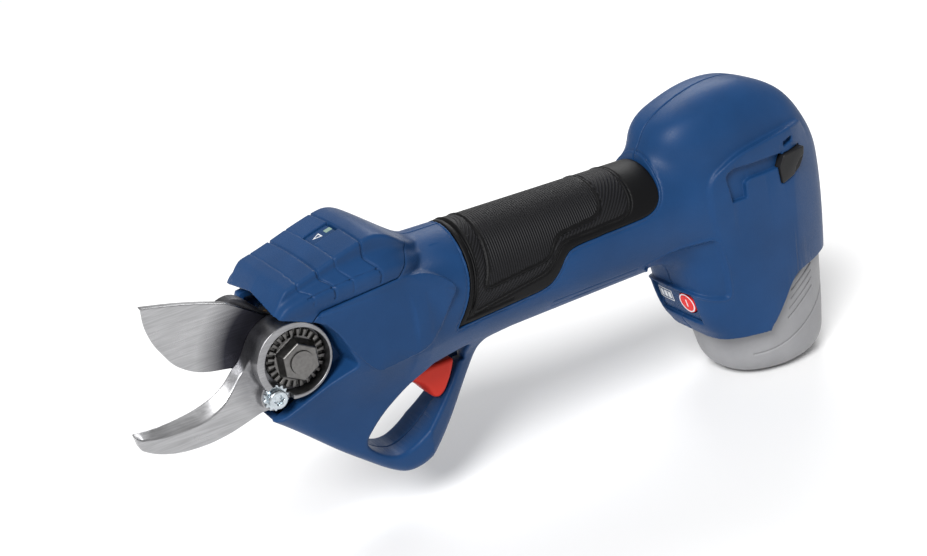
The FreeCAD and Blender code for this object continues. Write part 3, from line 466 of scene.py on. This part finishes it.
# Profiles: heights along x, and the half width of the head, from its guard up.
LID_TOP = [(-9, 19.4), (-6.7, 22.4), (-3.2, 26.4), (2.9, 27.9), (10.4, 30.0), (17.5, 32.3), (24.4, 34.2),
           (29, 35.3), (32.5, 35.6), (36.5, 34.2), (42, 30.0), (48, 25.5), (54, 22)]
SHELF = [(-9, 19.6), (-6, 20.4), (5.7, 22.7), (13.4, 23.5), (28.7, 24.5), (36, 24.2), (44, 22.0), (54, 19)]
HEAD_HALF = [(-66, 8.6), (-46, 10.2), (-24, 13.4), (-9, 19.0), (-3, 22.0), (2, 22.5), (30, 22.5)]
REAR_ROOF = [(145, 22), (153, 31), (161, 37.2), (172.5, 41.6), (183, 44.0), (194, 44.0), (203, 41.2),
             (213, 36.5), (222, 28.0), (229, 14), (233, -4)]

# The lid's cross grooves: x, width and depth.
LID_GROOVES = [(10.2, 0.7, 0.5), (26.9, 0.7, 0.5), (2.6, 0.4, 0.22), (16.9, 0.4, 0.22)]
# Housing screws: x, z and how far out from the parting plane the head's seat is.
SCREWS = [(4, -27.5, 12), (31, -55.5, 4.5), (64.5, -31, 4.5), (150, -16.5, 6), (166, 23, 8), (216, 18, 8)]
SCREW_WELL = 3.0
SCREW_HEAD = 2.2
WINDOW_X, WINDOW_HALF = (16.9, 26.9), 4.6
CUP_AXIS = (-1.8, 0.9)
CUP_RELIEF = 13.7
WELL_W = 10.5
WALL = 2.3
SEAM = 0.03
SHELL_SETBACK, LID_SETBACK = 0.15, 0.12
GRIP_SEAT, GRIP_BOTTOM, GRIP_PROUD = 1.55, 1.45, 0.15
HANDLE_LINES = (-12.6, -14.8)
BATTERY_MOUTH = -30.0
REAR_BASE = -55.0
HANDLE_X = (43, 172)
REAR_START = 144.0
FAR_AWAY = 40.0


def handle_field(space):
    """The handle: a slightly tapered oval tube."""
    x, w, z = space.x, space.w, space.z
    half_w = profile([(40, 21.8), (60, 21.2), (105, 20.6), (175, 20.1)], x)
    half_z = profile([(40, 22.2), (60, 23.0), (105, 22.3), (175, 21.3)], x)
    middle = profile([(40, 2.2), (60, 1.0), (105, 0.9), (175, 0.7)], x)
    tube = (np.hypot(w / half_w, (z - middle) / half_z) - 1) * 21.6
    return np.maximum(tube, slab(x, *HANDLE_X))


def head_field(space):
    """The head and finger guard: one side outline, thinner towards the guard and the rear."""
    x, w, z = space.x, space.w, space.z
    drop = 6.0 * np.clip((x - 8) / 18, 0, 1) * np.clip((z + 26) / 16, 0, 1)
    half = profile(HEAD_HALF, z + drop) - 0.4 * np.clip(x - 45, 0, 30)
    return meet(outline(HEAD_SIDE, x, z), (w - half) * 0.92, 5.0)


def lid_field(space):
    """The lid's outside: a nearly flat top, a step down each side to a sloping shelf, and a prow."""
    x, z = space.x, space.z
    w = space.w + 0.05 * np.clip(x - 36, 0, 18) ** 2
    top = profile(LID_TOP, x)
    crown = (z - top - 0.9 * (1 - (w / 20) ** 2)) * 0.93
    upper = meet(crown, (w - 20.1 + 0.12 * (top - z)) * 0.99, 1.6)
    slope = (z - profile(SHELF, x)) * 0.72 + (w - 24.4) * 0.70
    lower = meet(meet(slope, crown + 2.6, 2.0), w - 24.6, 2.5)
    tuck = ((w - 22.2) - (z - 17.0) * 0.42) * 0.92
    whole = blend(upper, meet(lower, tuck, 2.0), 1.6)
    prow = -(x + 3.15 + (27.2 - z) * 0.74 - w * 0.065) * 0.8
    whole = meet(whole, prow, 1.0)
    under = (18.9 - 0.47 * (x + 6) + 3.4 * (1 - w / 21.5) - z) * 0.9
    front = np.where(x < 5, under, 14.0 - z)
    return np.maximum(np.maximum(whole, front), x - 54)


def rear_field(space):
    """The battery housing: a domed oval body between flat raised side panels."""
    x, w, z = space.x, space.w, space.z
    front = profile([(-64, 173), (-55, 170), (-48, 164.5), (-31, 159.5), (-6, 156), (14, 153.5), (27, 152.5),
                     (50, 150)], z)
    rear = profile([(-64, 228), (-48, 231), (-31, 232.2), (-6, 232.2), (14, 230), (27, 225), (50, 216)], z)
    half = profile([(-64, 21.0), (-48, 22.0), (-20, 22.8), (14, 22.6), (27, 20.8), (50, 17.5)], z)
    centre, reach = (front + rear) / 2, (rear - front) / 2
    u = (x - centre) / reach
    power = 2.6 + np.where(x < centre, 1.6, 0.0) * np.clip((-8 - z) / 18, 0, 1)
    roof = profile(REAR_ROOF, x)
    dome = (z - roof + 13.5 * np.abs(w / 22) ** 2.8) * 0.72
    base = REAR_BASE - z
    body = np.maximum(meet(oval(u, w / half, power, 24), dome, 5.0), base)
    panel = meet(outline(REAR_PANEL, x, z), np.maximum(oval(u, w / 24.7, 2.5, 26), base), 1.0)
    cap = (z - roof + 13.5 * np.clip(w / 22, 0, 1) ** 2.8 - 1.2) * 0.72
    panel = np.maximum(np.maximum(panel, cap), 17 - w) + 0.14 * np.clip(x - 206, 0, 30)
    return blend(body, panel, 1.2)


def neck_field(space):
    """The head and the handle, without the lid."""
    return blend(head_field(space), handle_field(space), 7.0)


def front_field(space):
    """The head and the handle with the lid's outside."""
    return blend(neck_field(space), lid_field(space), 1.6)


def housing_field(space):
    """The whole tool's outside, before its hollows, seats and seams."""
    badge = np.maximum(outline(BADGE, space.x, space.z), slab(space.w, 15, 23.2))
    front = blend(blend(neck_field(space), badge, 0.4), lid_field(space), 1.6)
    first = int(round((REAR_START - space.low[0]) / space.step))
    rear = np.full(front.shape, FAR_AWAY, np.float32)
    rear[first:] = rear_field(space.after(first))
    return blend(front, rear, 8.0)


# ---------------------------------------------------------------- housing pieces
def half_surface(field, space, near):
    """The outside of one half of the housing, with its seats, pockets and grooves."""
    x, w, z = space.x, space.w, space.z
    grip_line = outline(GRIP, x, z)
    field = meet(field, -outline(FINGER_HOLE, x, z), 2.0)
    if near:
        draft = 0.13 * np.maximum(22 - w, 0)
        well = np.maximum(outline(BLADE_WELL, x, z) + draft, WELL_W - w)
        field = meet(field, -well, 0.8)
        field = np.maximum(field, -drum(space, CUP_RELIEF, WELL_W - 0.1, FAR_AWAY, CUP_AXIS))
    field = pocket(field, grip_line, GRIP_SEAT)
    field = groove(field, only_where(grip_line > 0, grip_line - 0.9), 0.5, 0.35)
    cheek = only_where(z < -9, outline(CHEEK, x, z))
    field = field + 0.9 * np.clip(-cheek, 0, 1)
    field = ridge(field, cheek - 0.5, 1.4, 0.3)
    field = pocket(field, outline(LATCH_TRACK, x, z), 2.2)
    field = pocket(field, outline(SMALL_SLOT, x, z), 2.0)
    field = np.maximum(field, -outline(NOTCH, x, z))
    for height in HANDLE_LINES:
        field = groove(field, only_where((x > 98) & (x < 136), z - height), 0.45, 0.3)
    field = pocket(field, brick(space, (150, 166), (-1, 12.9), (-47.2, -33.2)), 1.2)
    return groove(field, w, 0.5, 0.3)


def half_openings(space, near):
    """What is cut through one half's wall: for blade, lid, trigger, panel, latch, battery, cup and screws."""
    x, w, z = space.x, space.w, space.z
    openings = [
        brick(space, (-30, -2), (-2, WELL_W + 0.1 if near else 6.4), (-13.5, 18)),
        brick(space, (-6, 42), (-2, 15), (14, 19)),
        brick(space, (37.4, 64.6), (-2, 6.6), (-27, -15)),
        brick(space, (150, 167), (-2, 12.4), (-46.6, -33.7)),
        outline(LATCH_SIDE, x, z) - 0.3,
        np.maximum(oval((x - 200) / 27.5, w / 19.0, 2.4, 20), z - BATTERY_MOUTH),
    ]
    if near:
        openings.append(np.maximum(outline(WELL_FLOOR, x, z), w - WELL_W - 0.1))
        openings.append(drum(space, CUP_RELIEF, 2, FAR_AWAY, CUP_AXIS))
    else:
        openings.append(drum(space, 7.8, 12, 30))
        for screw_x, screw_z, seat in SCREWS:
            openings.append(drum(space, SCREW_WELL, seat + SCREW_HEAD, FAR_AWAY, (screw_x, screw_z)))
    return openings


housing_space = Space((-17, -0.8, -64.6), (234.2, 26.0, 46.0), 0.4)
housing_outside = housing_field(housing_space)
below_lid = SHELL_SETBACK - outline(LID_EDGE, housing_space.x, housing_space.z)
for side, title in ((-1, "left_housing"), (1, "right_housing")):
    shell = layer(half_surface(housing_outside, housing_space, side < 0), 0, WALL)
    shell = np.maximum(shell, below_lid)
    for opening in half_openings(housing_space, side < 0):
        shell = np.maximum(shell, -opening)
    shell = np.maximum(shell, SEAM - housing_space.w)
    finish_piece(solid(title + "_shell", shell, housing_space, side), "housing", BLUE, "blue_plastic", title)


def lid_outside(space):
    """The lid with its cross grooves, which lean back on the shelf, their end line and the window's seat."""
    x, w, z = space.x, space.w, space.z
    field = front_field(space)
    lean = 0.95 * np.maximum(w - 19.8, 0)
    for start, width, depth in LID_GROOVES:
        field = groove(field, only_where(z > 20, x - start - lean), width, depth)
    rim = only_where((x > 4) & (x < 30) & (w > 21), z - profile(SHELF, x) - 0.6)
    field = groove(field, rim, 0.5, 0.3)
    return pocket(field, np.maximum(slab(x, *WINDOW_X), w - WINDOW_HALF), 0.6)


lid_grid = Space((-9, -25.4, 12), (48.4, 25.4, 38.4), 0.3)
lid_space = lid_grid.folded()
lid_surface = lid_outside(lid_space)
window_hole = brick(lid_space, WINDOW_X, (-1, WINDOW_HALF), (20, 50))
lid = np.maximum(layer(lid_surface, 0, WALL), outline(LID_EDGE, lid_space.x, lid_space.z) + LID_SETBACK)
lid = np.maximum(lid, -window_hole)
finish_piece(solid("head_lid", lid, lid_grid), "housing", BLUE, "blue_plastic", "head_cover")
window = np.maximum(layer(lid_surface, 0.05, 1.4), window_hole + 0.15)
finish_piece(solid("status_window_lens", window, lid_grid, faces=8000), "housing", BLUE_GLOSS, "clear_window",
             "status_window")


# ---------------------------------------------------------------- grip rubber
def grip_field(space):
    """The rubber sleeve on the handle, with raised lines around its ribs and a lip at its front."""
    x, z = space.x, space.z
    handle = handle_field(space)
    edge = outline(GRIP, x, z)
    field = handle - GRIP_PROUD + 0.35 * np.clip((edge + 1.2) / 1.2, 0, 1) ** 2
    for line in (outline(RIB_OUTER, x, z), outline(RIB_INNER, x, z)):
        field = ridge(field, line, 1.0, 0.35)
        field = groove(field, only_where(line > 0, line - 0.9), 0.7, 0.3)
    field = groove(field, only_where(x < 80, edge + 2.4), 0.9, 0.45)
    sleeve = np.maximum(field, -(handle + GRIP_BOTTOM))
    return np.maximum(sleeve, edge + 0.3)


def mark_ribs(obj):
    """Stores where the ribs are and how they lean: the band between the lines leans further."""
    spots = np.zeros(len(obj.data.vertices) * 3, np.float32)
    obj.data.vertices.foreach_get("co", spots)
    spots = (spots.reshape(-1, 3) - np.array(PIVOT)) / MM
    x, z = spots[:, 0], spots[:, 2]
    inner = outline(RIB_INNER, x, z)
    ribbed = (outline(RIB_OUTER, x, z) < -0.7) & (np.abs(inner) > 0.7)
    slant = np.where(inner < 0, FIELD_SLANT, BAND_SLANT)
    phase = (x * np.cos(slant) + z * np.sin(slant)) * 2 * math.pi / RIB_PITCH
    for title, values in (("ribbed", ribbed), ("rib_phase", phase)):
        layer_data = obj.data.attributes.new(title, "FLOAT", "POINT").data
        layer_data.foreach_set("value", values.astype(np.float32))


grip_grid = Space((54.5, -22.4, -9), (153, 22.4, 25.4), 0.3)
grip = solid("grip_sleeve", grip_field(grip_grid.folded()), grip_grid)
mark_ribs(grip)
finish_piece(grip, "housing", RUBBER, "black_rubber", "grip_rubber")


# ---------------------------------------------------------------- blades and pivot
# These shapes aren't mirrored, so their space's w is the frame's y: the near side is negative.
BOLT_HOLE = 6.05
HOOK_Y = (-8, -4)
BLADE_Y = (-3.9, -0.9)
NUT_Y = (-17.3, -10.5)
FLANGE_Y = (-12.9, -10.5)
WASHER_Y = (-14.0, -12.9)
SCREW_HEAD_Y = (-16.5, -14.0)
HOOK_OUTSIDE = [(-56.8, -9.2, 0.4), (-56.0, -14.2, 1.2), (-52, -17.2), (-46.4, -19.5), (-40.3, -20.6),
                (-33.0, -20.9), (-25.5, -20.0), (-19, -18.3), (-9, -15.5), (6, -12), (6, 6), (-8, 6)]
HOOK_NEAR = [(-18.6, -1.2), (-21.5, -4.9), (-25.7, -9.3), (-30, -11.6), (-35.4, -12.9), (-41.7, -13.0),
             (-47.8, -12.6), (-54.8, -11.0, 0.6)]
HOOK_FAR = [(-19.6, 0.9), (-21.8, -1.7), (-25, -4.6), (-29.4, -6.9), (-36.2, -8.8), (-42.7, -9.6),
            (-49, -10.0), (-55.2, -9.4, 0.6)]
BLADE_PLAN = [(-44.3, 30.6, 0.6), (-44.7, 24.4), (-43.1, 17.5), (-38.0, 8.1), (-32.6, 3.9), (-28, 2.0),
              (-19.4, 0.35, 1), (-14, -4.5), (-2, -11), (11, -3), (8, 9), (-4, 14), (-15.8, 22.6),
              (-24.5, 25.6), (-33.2, 28.1)]


def hook_field(space):
    """The fixed hook: a bevelled crescent that fillets into the pivot's cup and the lock screw's lug."""
    x, y, z = space.x, space.w, space.z
    near = outline(rounded(HOOK_OUTSIDE + HOOK_NEAR, 3), x, z)
    far = outline(rounded(HOOK_OUTSIDE + HOOK_FAR, 3), x, z)
    share = np.clip((y + 8) / 4, 0, 1)
    crescent = meet((near * (1 - share) + far * share) * 0.85, slab(y, *HOOK_Y), 0.5)
    hub = drum(space, 13.4, -16.5, -4, CUP_AXIS)
    lug = drum(space, 4.9, -12.9, -4, LOCK_SCREW)
    body = blend(blend(hub, lug, 2.0), crescent, 3.4)
    nut_seat = np.maximum(space.from_axis((-1.0, 0.4)) - 11.6, y + 10.5)
    washer_seat = np.maximum(space.from_axis(LOCK_SCREW) - 5.2, y + 12.85)
    body = meet(body, -blend(nut_seat, washer_seat, 0.4), 0.35)
    body = np.maximum(body, 4.0 - space.from_axis())
    return np.maximum(body, 2.0 - space.from_axis(LOCK_SCREW))


def blade_field(space):
    """The moving blade: flat and bright on the near face, ground to its edge on the far one."""
    x, y, z = space.x, space.w, space.z
    plan = outline(rounded(BLADE_PLAN, 3), x, z)
    ground = (plan + 0.32 * np.clip(y + 3.6, 0, 4)) * 0.95
    edge = np.where((x < -18) & (z < 30 - (x + 44) * 0.3), ground, plan)
    plate = meet(edge, slab(y, *BLADE_Y), 0.25)
    return np.maximum(plate, BOLT_HOLE - space.from_axis())


def carrier_field(space):
    """The hub and the humped arm behind the moving blade."""
    x, y, z = space.x, space.w, space.z
    arm = outline(rounded([(-9, -3), (-20.5, 15), (-19.6, 21.5, 4), (-12, 23.0, 5), (1, 9.5)], 3), x, z)
    arm = meet(arm, slab(y, -0.9, 5.2), 1.4)
    rib = outline(rounded([(-16.5, 12), (-17.5, 20.5, 3), (-11.0, 22.0, 4), (-4, 12)], 3), x, z)
    rib = meet(rib, slab(y, 0, 7.4), 1.6)
    body = blend(blend(arm, rib, 1.5), drum(space, 10.0, -0.9, 9.3), 1.5)
    return np.maximum(body, BOLT_HOLE - space.from_axis())


def nut_field(space):
    """A tapered hexagon standing on a flange with radial slots."""
    y = space.w
    radius = space.from_axis()
    angle = np.arctan2(space.z, space.x)
    sixth, slot_pitch = math.pi / 3, math.pi / 12
    across = radius * np.cos(np.mod(angle + sixth / 2, sixth) - sixth / 2)
    taper = 7.0 - 1.15 * np.clip((-12.5 - y) / 4.8, 0, 1)
    hexagon = meet(across - taper, slab(y, *NUT_Y), 0.7)
    hexagon = meet(hexagon, radius - 7.1 - 0.55 * (y - NUT_Y[0]), 0.4)
    flange = meet(radius - 10.3, slab(y, *FLANGE_Y), 0.4)
    slot_side = np.abs(radius * np.sin(np.mod(angle, slot_pitch) - slot_pitch / 2))
    slots = np.maximum(slot_side - 0.62, np.maximum(7.9 - radius, y + 11.2))
    flange = meet(flange, -slots, 0.25)
    return np.maximum(blend(hexagon, flange, 0.5), 4.02 - radius)


def around_screw(space):
    """The distance from the lock screw's axis, and the angle around it."""
    return space.from_axis(LOCK_SCREW), np.arctan2(space.z - LOCK_SCREW[1], space.x - LOCK_SCREW[0])


def screw_field(space):
    """The lock screw's rounded head with a star socket, on its shank."""
    y = space.w
    radius, angle = around_screw(space)
    head = meet(radius - 3.3, slab(y, *SCREW_HEAD_Y), 0.9)
    socket = np.maximum(radius - 1.55 - 0.3 * np.cos(6 * angle), y + 15.1)
    head = meet(head, -socket, 0.25)
    return np.minimum(head, drum(space, 2.0, -14.2, -4.0, LOCK_SCREW))


def washer_field(space):
    """The lock washer's star teeth, which sit in the nut's slots."""
    radius, angle = around_screw(space)
    star = meet(radius - 4.2 - 0.42 * np.cos(14 * angle), slab(space.w, *WASHER_Y), 0.25)
    return np.maximum(star, 2.02 - radius)


def piece(name, shape, low, high, step, faces, body, material, slot, *nodes):
    """Samples a shape in its own box of space and finishes its mesh."""
    space = Space(low, high, step)
    finish_piece(solid(name, shape(space), space, faces=faces), body, material, slot, *nodes)


piece("hook_blade", hook_field, (-60.5, -17.2, -22.4), (14, -3.4, 15.2), 0.22, 110000,
      "housing", HOOK, "blade_steel", "lower_blade")
piece("moving_blade", blade_field, (-46, -4.6, -13.5), (13, 0.0, 32), 0.2, 90000,
      "blade", BLADE, "blade_steel", "upper_blade")
piece("carrier_casting", carrier_field, (-22.5, -1.4, -11), (11, 10, 25), 0.3, 50000,
      "blade", CAST, "cast_metal", "blade_carrier")
piece("castle_nut", nut_field, (-11, -17.9, -11), (11, -10.1, 11), 0.16, 100000,
      "housing", DARK_STEEL, "dark_steel", "adjusting_nut")
piece("lock_screw_head", screw_field, (-14, -17.0, -14.6), (-6, -3.6, -6.6), 0.12, 30000,
      "housing", ZINC, "zinc_steel", "lock_screw")
piece("star_washer", washer_field, (-15.4, -14.4, -16), (-4.6, -12.5, -5.2), 0.12, 30000,
      "housing", ZINC, "zinc_steel", "lock_washer")


# ---------------------------------------------------------------- trigger and latches
def trigger_field(space):
    """The finger lever: a hollowed front face between rounded flanks, hung on its eye."""
    x, y, z = space.x, space.w, space.z
    lever = outline(rounded([(40.4, -23.4), (42.2, -27.6, 2), (46.0, -32.4, 3), (51.6, -38.2, 2.5),
                             (55.0, -36.4, 2), (58.6, -30.5, 3), (60.7, -24.7), (44, -24.7)], 2), x, z)
    lever = meet(lever, np.abs(y) - 6.2, 1.8)
    dish = space.from_axis((39.5, -37.5)) - 8.6 - 0.05 * y * y
    lever = meet(lever, -np.where(z < -27.5, dish, 5.0), 1.0)
    web = outline([(38.6, -19.6), (40.4, -25.2), (46, -25.2), (43.6, -19.6)], x, z)
    web = np.maximum(web, np.abs(y) - 4.4)
    eye = drum(space, 3.0, -4.4, 4.4, TRIGGER_PIN)
    whole = blend(blend(lever, web, 0.8), eye, 0.8)
    return np.maximum(whole, 1.55 - space.from_axis(TRIGGER_PIN))


piece("trigger_lever", trigger_field, (37.4, -6.8, -39.4), (62, 6.8, -15.8), 0.2, 60000,
      "trigger", RED, "red_plastic", "trigger")

spring = new_object("trigger_return_spring", frame["nodes"]["trigger_spring"].data.copy())
finish_piece(spring, "housing", DARK_STEEL, "dark_steel", "trigger_spring")
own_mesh(spring)


def latch_field(space):
    """A push latch whose face is cut back to a raised edge."""
    x, w, z = space.x, space.w, space.z
    face = 25.3
    pad = meet(outline(LATCH_SIDE, x, z), slab(w, 19.7, face), 0.5)
    pad = meet(pad, (w - face) * 0.8 + (x - 203.5) * 0.12 - (z - 8) * 0.10, 0.3)
    nail = np.maximum(space.from_axis((213, 5.5)) - 7.0, 24.3 - w)
    return np.maximum(pad, -nail)


latch_space = Space((198, 19, 3), (211.4, 26, 16), 0.16)
latch_shape = latch_field(latch_space)
for side, title in ((-1, "left_latch"), (1, "right_latch")):
    pad = solid(title + "_pad", latch_shape, latch_space, side, 20000)
    finish_piece(pad, title, BLACK, "black_plastic", title)


# ---------------------------------------------------------------- control panel and status lamps
PANEL_Z = -39.0
BUTTON_Y = -7.0
BUTTON_PATCH = (-12, -44), (-2, -34)


def on_front(name, shape, patch, top, bottom, body, material, slot, *nodes):
    """A thin piece between two depths under the housing's front face, with an outline in y and z."""
    (low_y, low_z), (high_y, high_z) = patch
    space = Space((156, low_y, low_z), (169, high_y, high_z), 0.15)
    skin = layer(rear_field(space.folded()), top, bottom)
    thin = np.maximum(skin, shape(space.w, space.z))
    finish_piece(solid(name, thin, space, faces=24000), body, material, slot, *nodes)


def on_lid(name, shape, material, low, high):
    """A small lamp that follows the lid's window, with an outline in x and y."""
    space = Space((*low, 26), (*high, 37), 0.12)
    skin = layer(front_field(space.folded()), 0.55, 0.9)
    lamp = np.maximum(skin, shape(space.x, space.w))
    finish_piece(solid(name, lamp, space, faces=8000), "housing", material, "clear_window")


def rectangle(y, z, centre, half_y, half_z):
    """An upright rectangle at the panel's middle height."""
    return np.maximum(np.abs(y - centre) - half_y, np.abs(z - PANEL_Z) - half_z)


def from_button(y, z):
    """The distance from the power button's middle."""
    return np.hypot(y - BUTTON_Y, z - PANEL_Z)


def panel_shape(y, z):
    """The control plate, with the button's hole."""
    plate = outline(rounded([(-12.2, -46.4), (12.2, -46.4), (12.2, -33.9), (-12.2, -33.9)], 2), y, z)
    return np.maximum(plate, 4.75 - from_button(y, z))


def button_shape(y, z):
    return from_button(y, z) - 4.35


def button_ring(y, z):
    return np.abs(from_button(y, z) - 3.85) - 0.28


def button_bar(y, z):
    return rectangle(y, z, BUTTON_Y, 0.3, 1.7)


def charge_bars(y, z):
    """Three bars in a thin frame."""
    bars = [rectangle(y, z, spot, 0.95, 1.5) for spot in (4.3, 6.8, 9.3)]
    edge = np.abs(rectangle(y, z, 6.8, 4.3, 2.3)) - 0.22
    return np.minimum.reduce([*bars, edge])


def square_lamp(x, y):
    return np.maximum(np.abs(x - 24.6), np.abs(y)) - 1.25


def triangle_lamp(x, y):
    """The outline of a triangle that points to the blades."""
    edge = outline([(21.8, -1.9), (21.8, 1.9), (18.4, 0.0)], x, y)
    return np.abs(edge + 0.3) - 0.22


on_front("control_plate", panel_shape, ((-13, -47.2), (13, -31.4)), 1.1, 2.6, "housing", BLUE_GLOSS,
         "blue_plastic", "control_panel")
on_front("power_button_cap", button_shape, BUTTON_PATCH, 0.75, 4.6, "power_button", RED_BUTTON,
         "red_button", "power_button")
on_front("power_button_ring", button_ring, BUTTON_PATCH, 0.68, 1.4, "power_button", WHITE, "red_button")
on_front("power_button_bar", button_bar, BUTTON_PATCH, 0.68, 1.4, "power_button", WHITE, "red_button")
on_front("charge_bars", charge_bars, ((1, -42.5), (12.5, -35.5)), 1.02, 1.5, "housing", WHITE,
         "clear_window", "charge_indicator")
on_lid("square_lamp", square_lamp, LAMP, (23, -2), (26.4, 2))
on_lid("triangle_lamp", triangle_lamp, WHITE, (17.8, -2.5), (22.4, 2.5))


# ---------------------------------------------------------------- battery
def battery_field(space):
    """The battery's foot and rear grip: an oval with a rounded base, a step line and slanted ribs."""
    x, w, z = space.x, space.w, space.z
    centre = 201.6
    plan = oval((x - centre) / 28.4, w / 21.2, 2.3, 21.5)
    plan = plan + np.clip(-z - 56, 0, 22) * (0.03 + 0.2 * np.clip((centre - x) / 28, 0, 1))
    body = meet(plan, -78 - z, 12.0)
    top = outline(rounded([(165, -79), (165, -57.0), (188.7, -56.8, 3), (196.2, -47.6, 6), (202.4, -37.8, 5),
                           (206.5, -35, 3), (240, -33.7), (240, -79)], 1), x, z)
    body = meet(body, top, 0.6)
    step_line = z + 66.5 - 0.012 * np.clip(x - 186, 0, 60) ** 2
    body = groove(body, only_where(x > 186, step_line), 0.8, 0.5)
    slant = (z + 57.5) - (x - 196) * 0.62
    for rib in range(5):
        shift = 3.3 * rib
        beside = (x > 201.0 + shift * 0.25) & (x < 215.5) & (w > 10)
        body = groove(body, only_where(beside, slant - shift), 0.8, 0.6)
    hollow = np.maximum(body + 2.4, -76 - z)
    return np.maximum(body, -hollow)


foot_grid = Space((172, -22, -78.6), (231, 22, -32), 0.3)
foot = solid("battery_foot", battery_field(foot_grid.folded()), foot_grid)
finish_piece(foot, "battery", GREY, "grey_plastic", "battery_base")

# ---------------------------------------------------------------- finishes of the CAD nodes that stay
SLOT_FINISH = {
    "dark_steel": DARK_STEEL, "zinc_steel": ZINC, "blade_steel": BLADE, "bronze": BRONZE, "cast_metal": CAST,
    "circuit_board": BOARD, "cell_wrap": CELL_WRAP, "grey_plastic": GREY, "black_plastic": BLACK,
    "blue_plastic": BLUE, "red_plastic": RED, "red_button": RED_BUTTON, "clear_window": BLUE_GLOSS,
    "black_rubber": RUBBER,
}
for node in frame["nodes"].values():
    for entry in node.material_slots:
        slot_name = entry.material.name.split(".")[0] if entry.material else ""
        entry.material = SLOT_FINISH.get(slot_name, DARK_STEEL)

# ---------------------------------------------------------------- floor, world and light
FLOOR_REACH = 4.0
floor_mesh = bpy.data.meshes.new("floor")
corners = [(-FLOOR_REACH, -FLOOR_REACH, 0), (FLOOR_REACH, -FLOOR_REACH, 0), (FLOOR_REACH, FLOOR_REACH, 0),
           (-FLOOR_REACH, FLOOR_REACH, 0)]
floor_mesh.from_pydata(corners, [], [(0, 1, 2, 3)])
floor_mesh.materials.append(Finish("pale floor", (0.92, 0.92, 0.92), 0.9).material)
new_object("floor", floor_mesh)

world = bpy.data.worlds.new("studio")
world.use_nodes = True
world_light = world.node_tree.nodes["Background"].inputs
world_light["Color"].default_value = (1, 1, 1, 1)
world_light["Strength"].default_value = 0.42
bpy.context.scene.world = world

key_data = bpy.data.lights.new("key", "SUN")
key_data.energy = 3.1
key_data.angle = math.radians(25)
key = new_object("key", key_data)
key.rotation_euler = (math.radians(26), math.radians(-40), 0)

RIM_AT, RIM_AIM = Vector((0.45, 0.55, 0.65)), Vector((0.05, 0, 0.08))
rim_data = bpy.data.lights.new("rim", "AREA")
rim_data.energy = 3.0
rim_data.shape = "RECTANGLE"
rim_data.size = 0.5
rim_data.size_y = 0.35
rim = new_object("rim", rim_data)
rim_turn = (RIM_AIM - RIM_AT).to_track_quat("-Z", "Y")
rim.matrix_world = Matrix.Translation(RIM_AT) @ rim_turn.to_matrix().to_4x4()
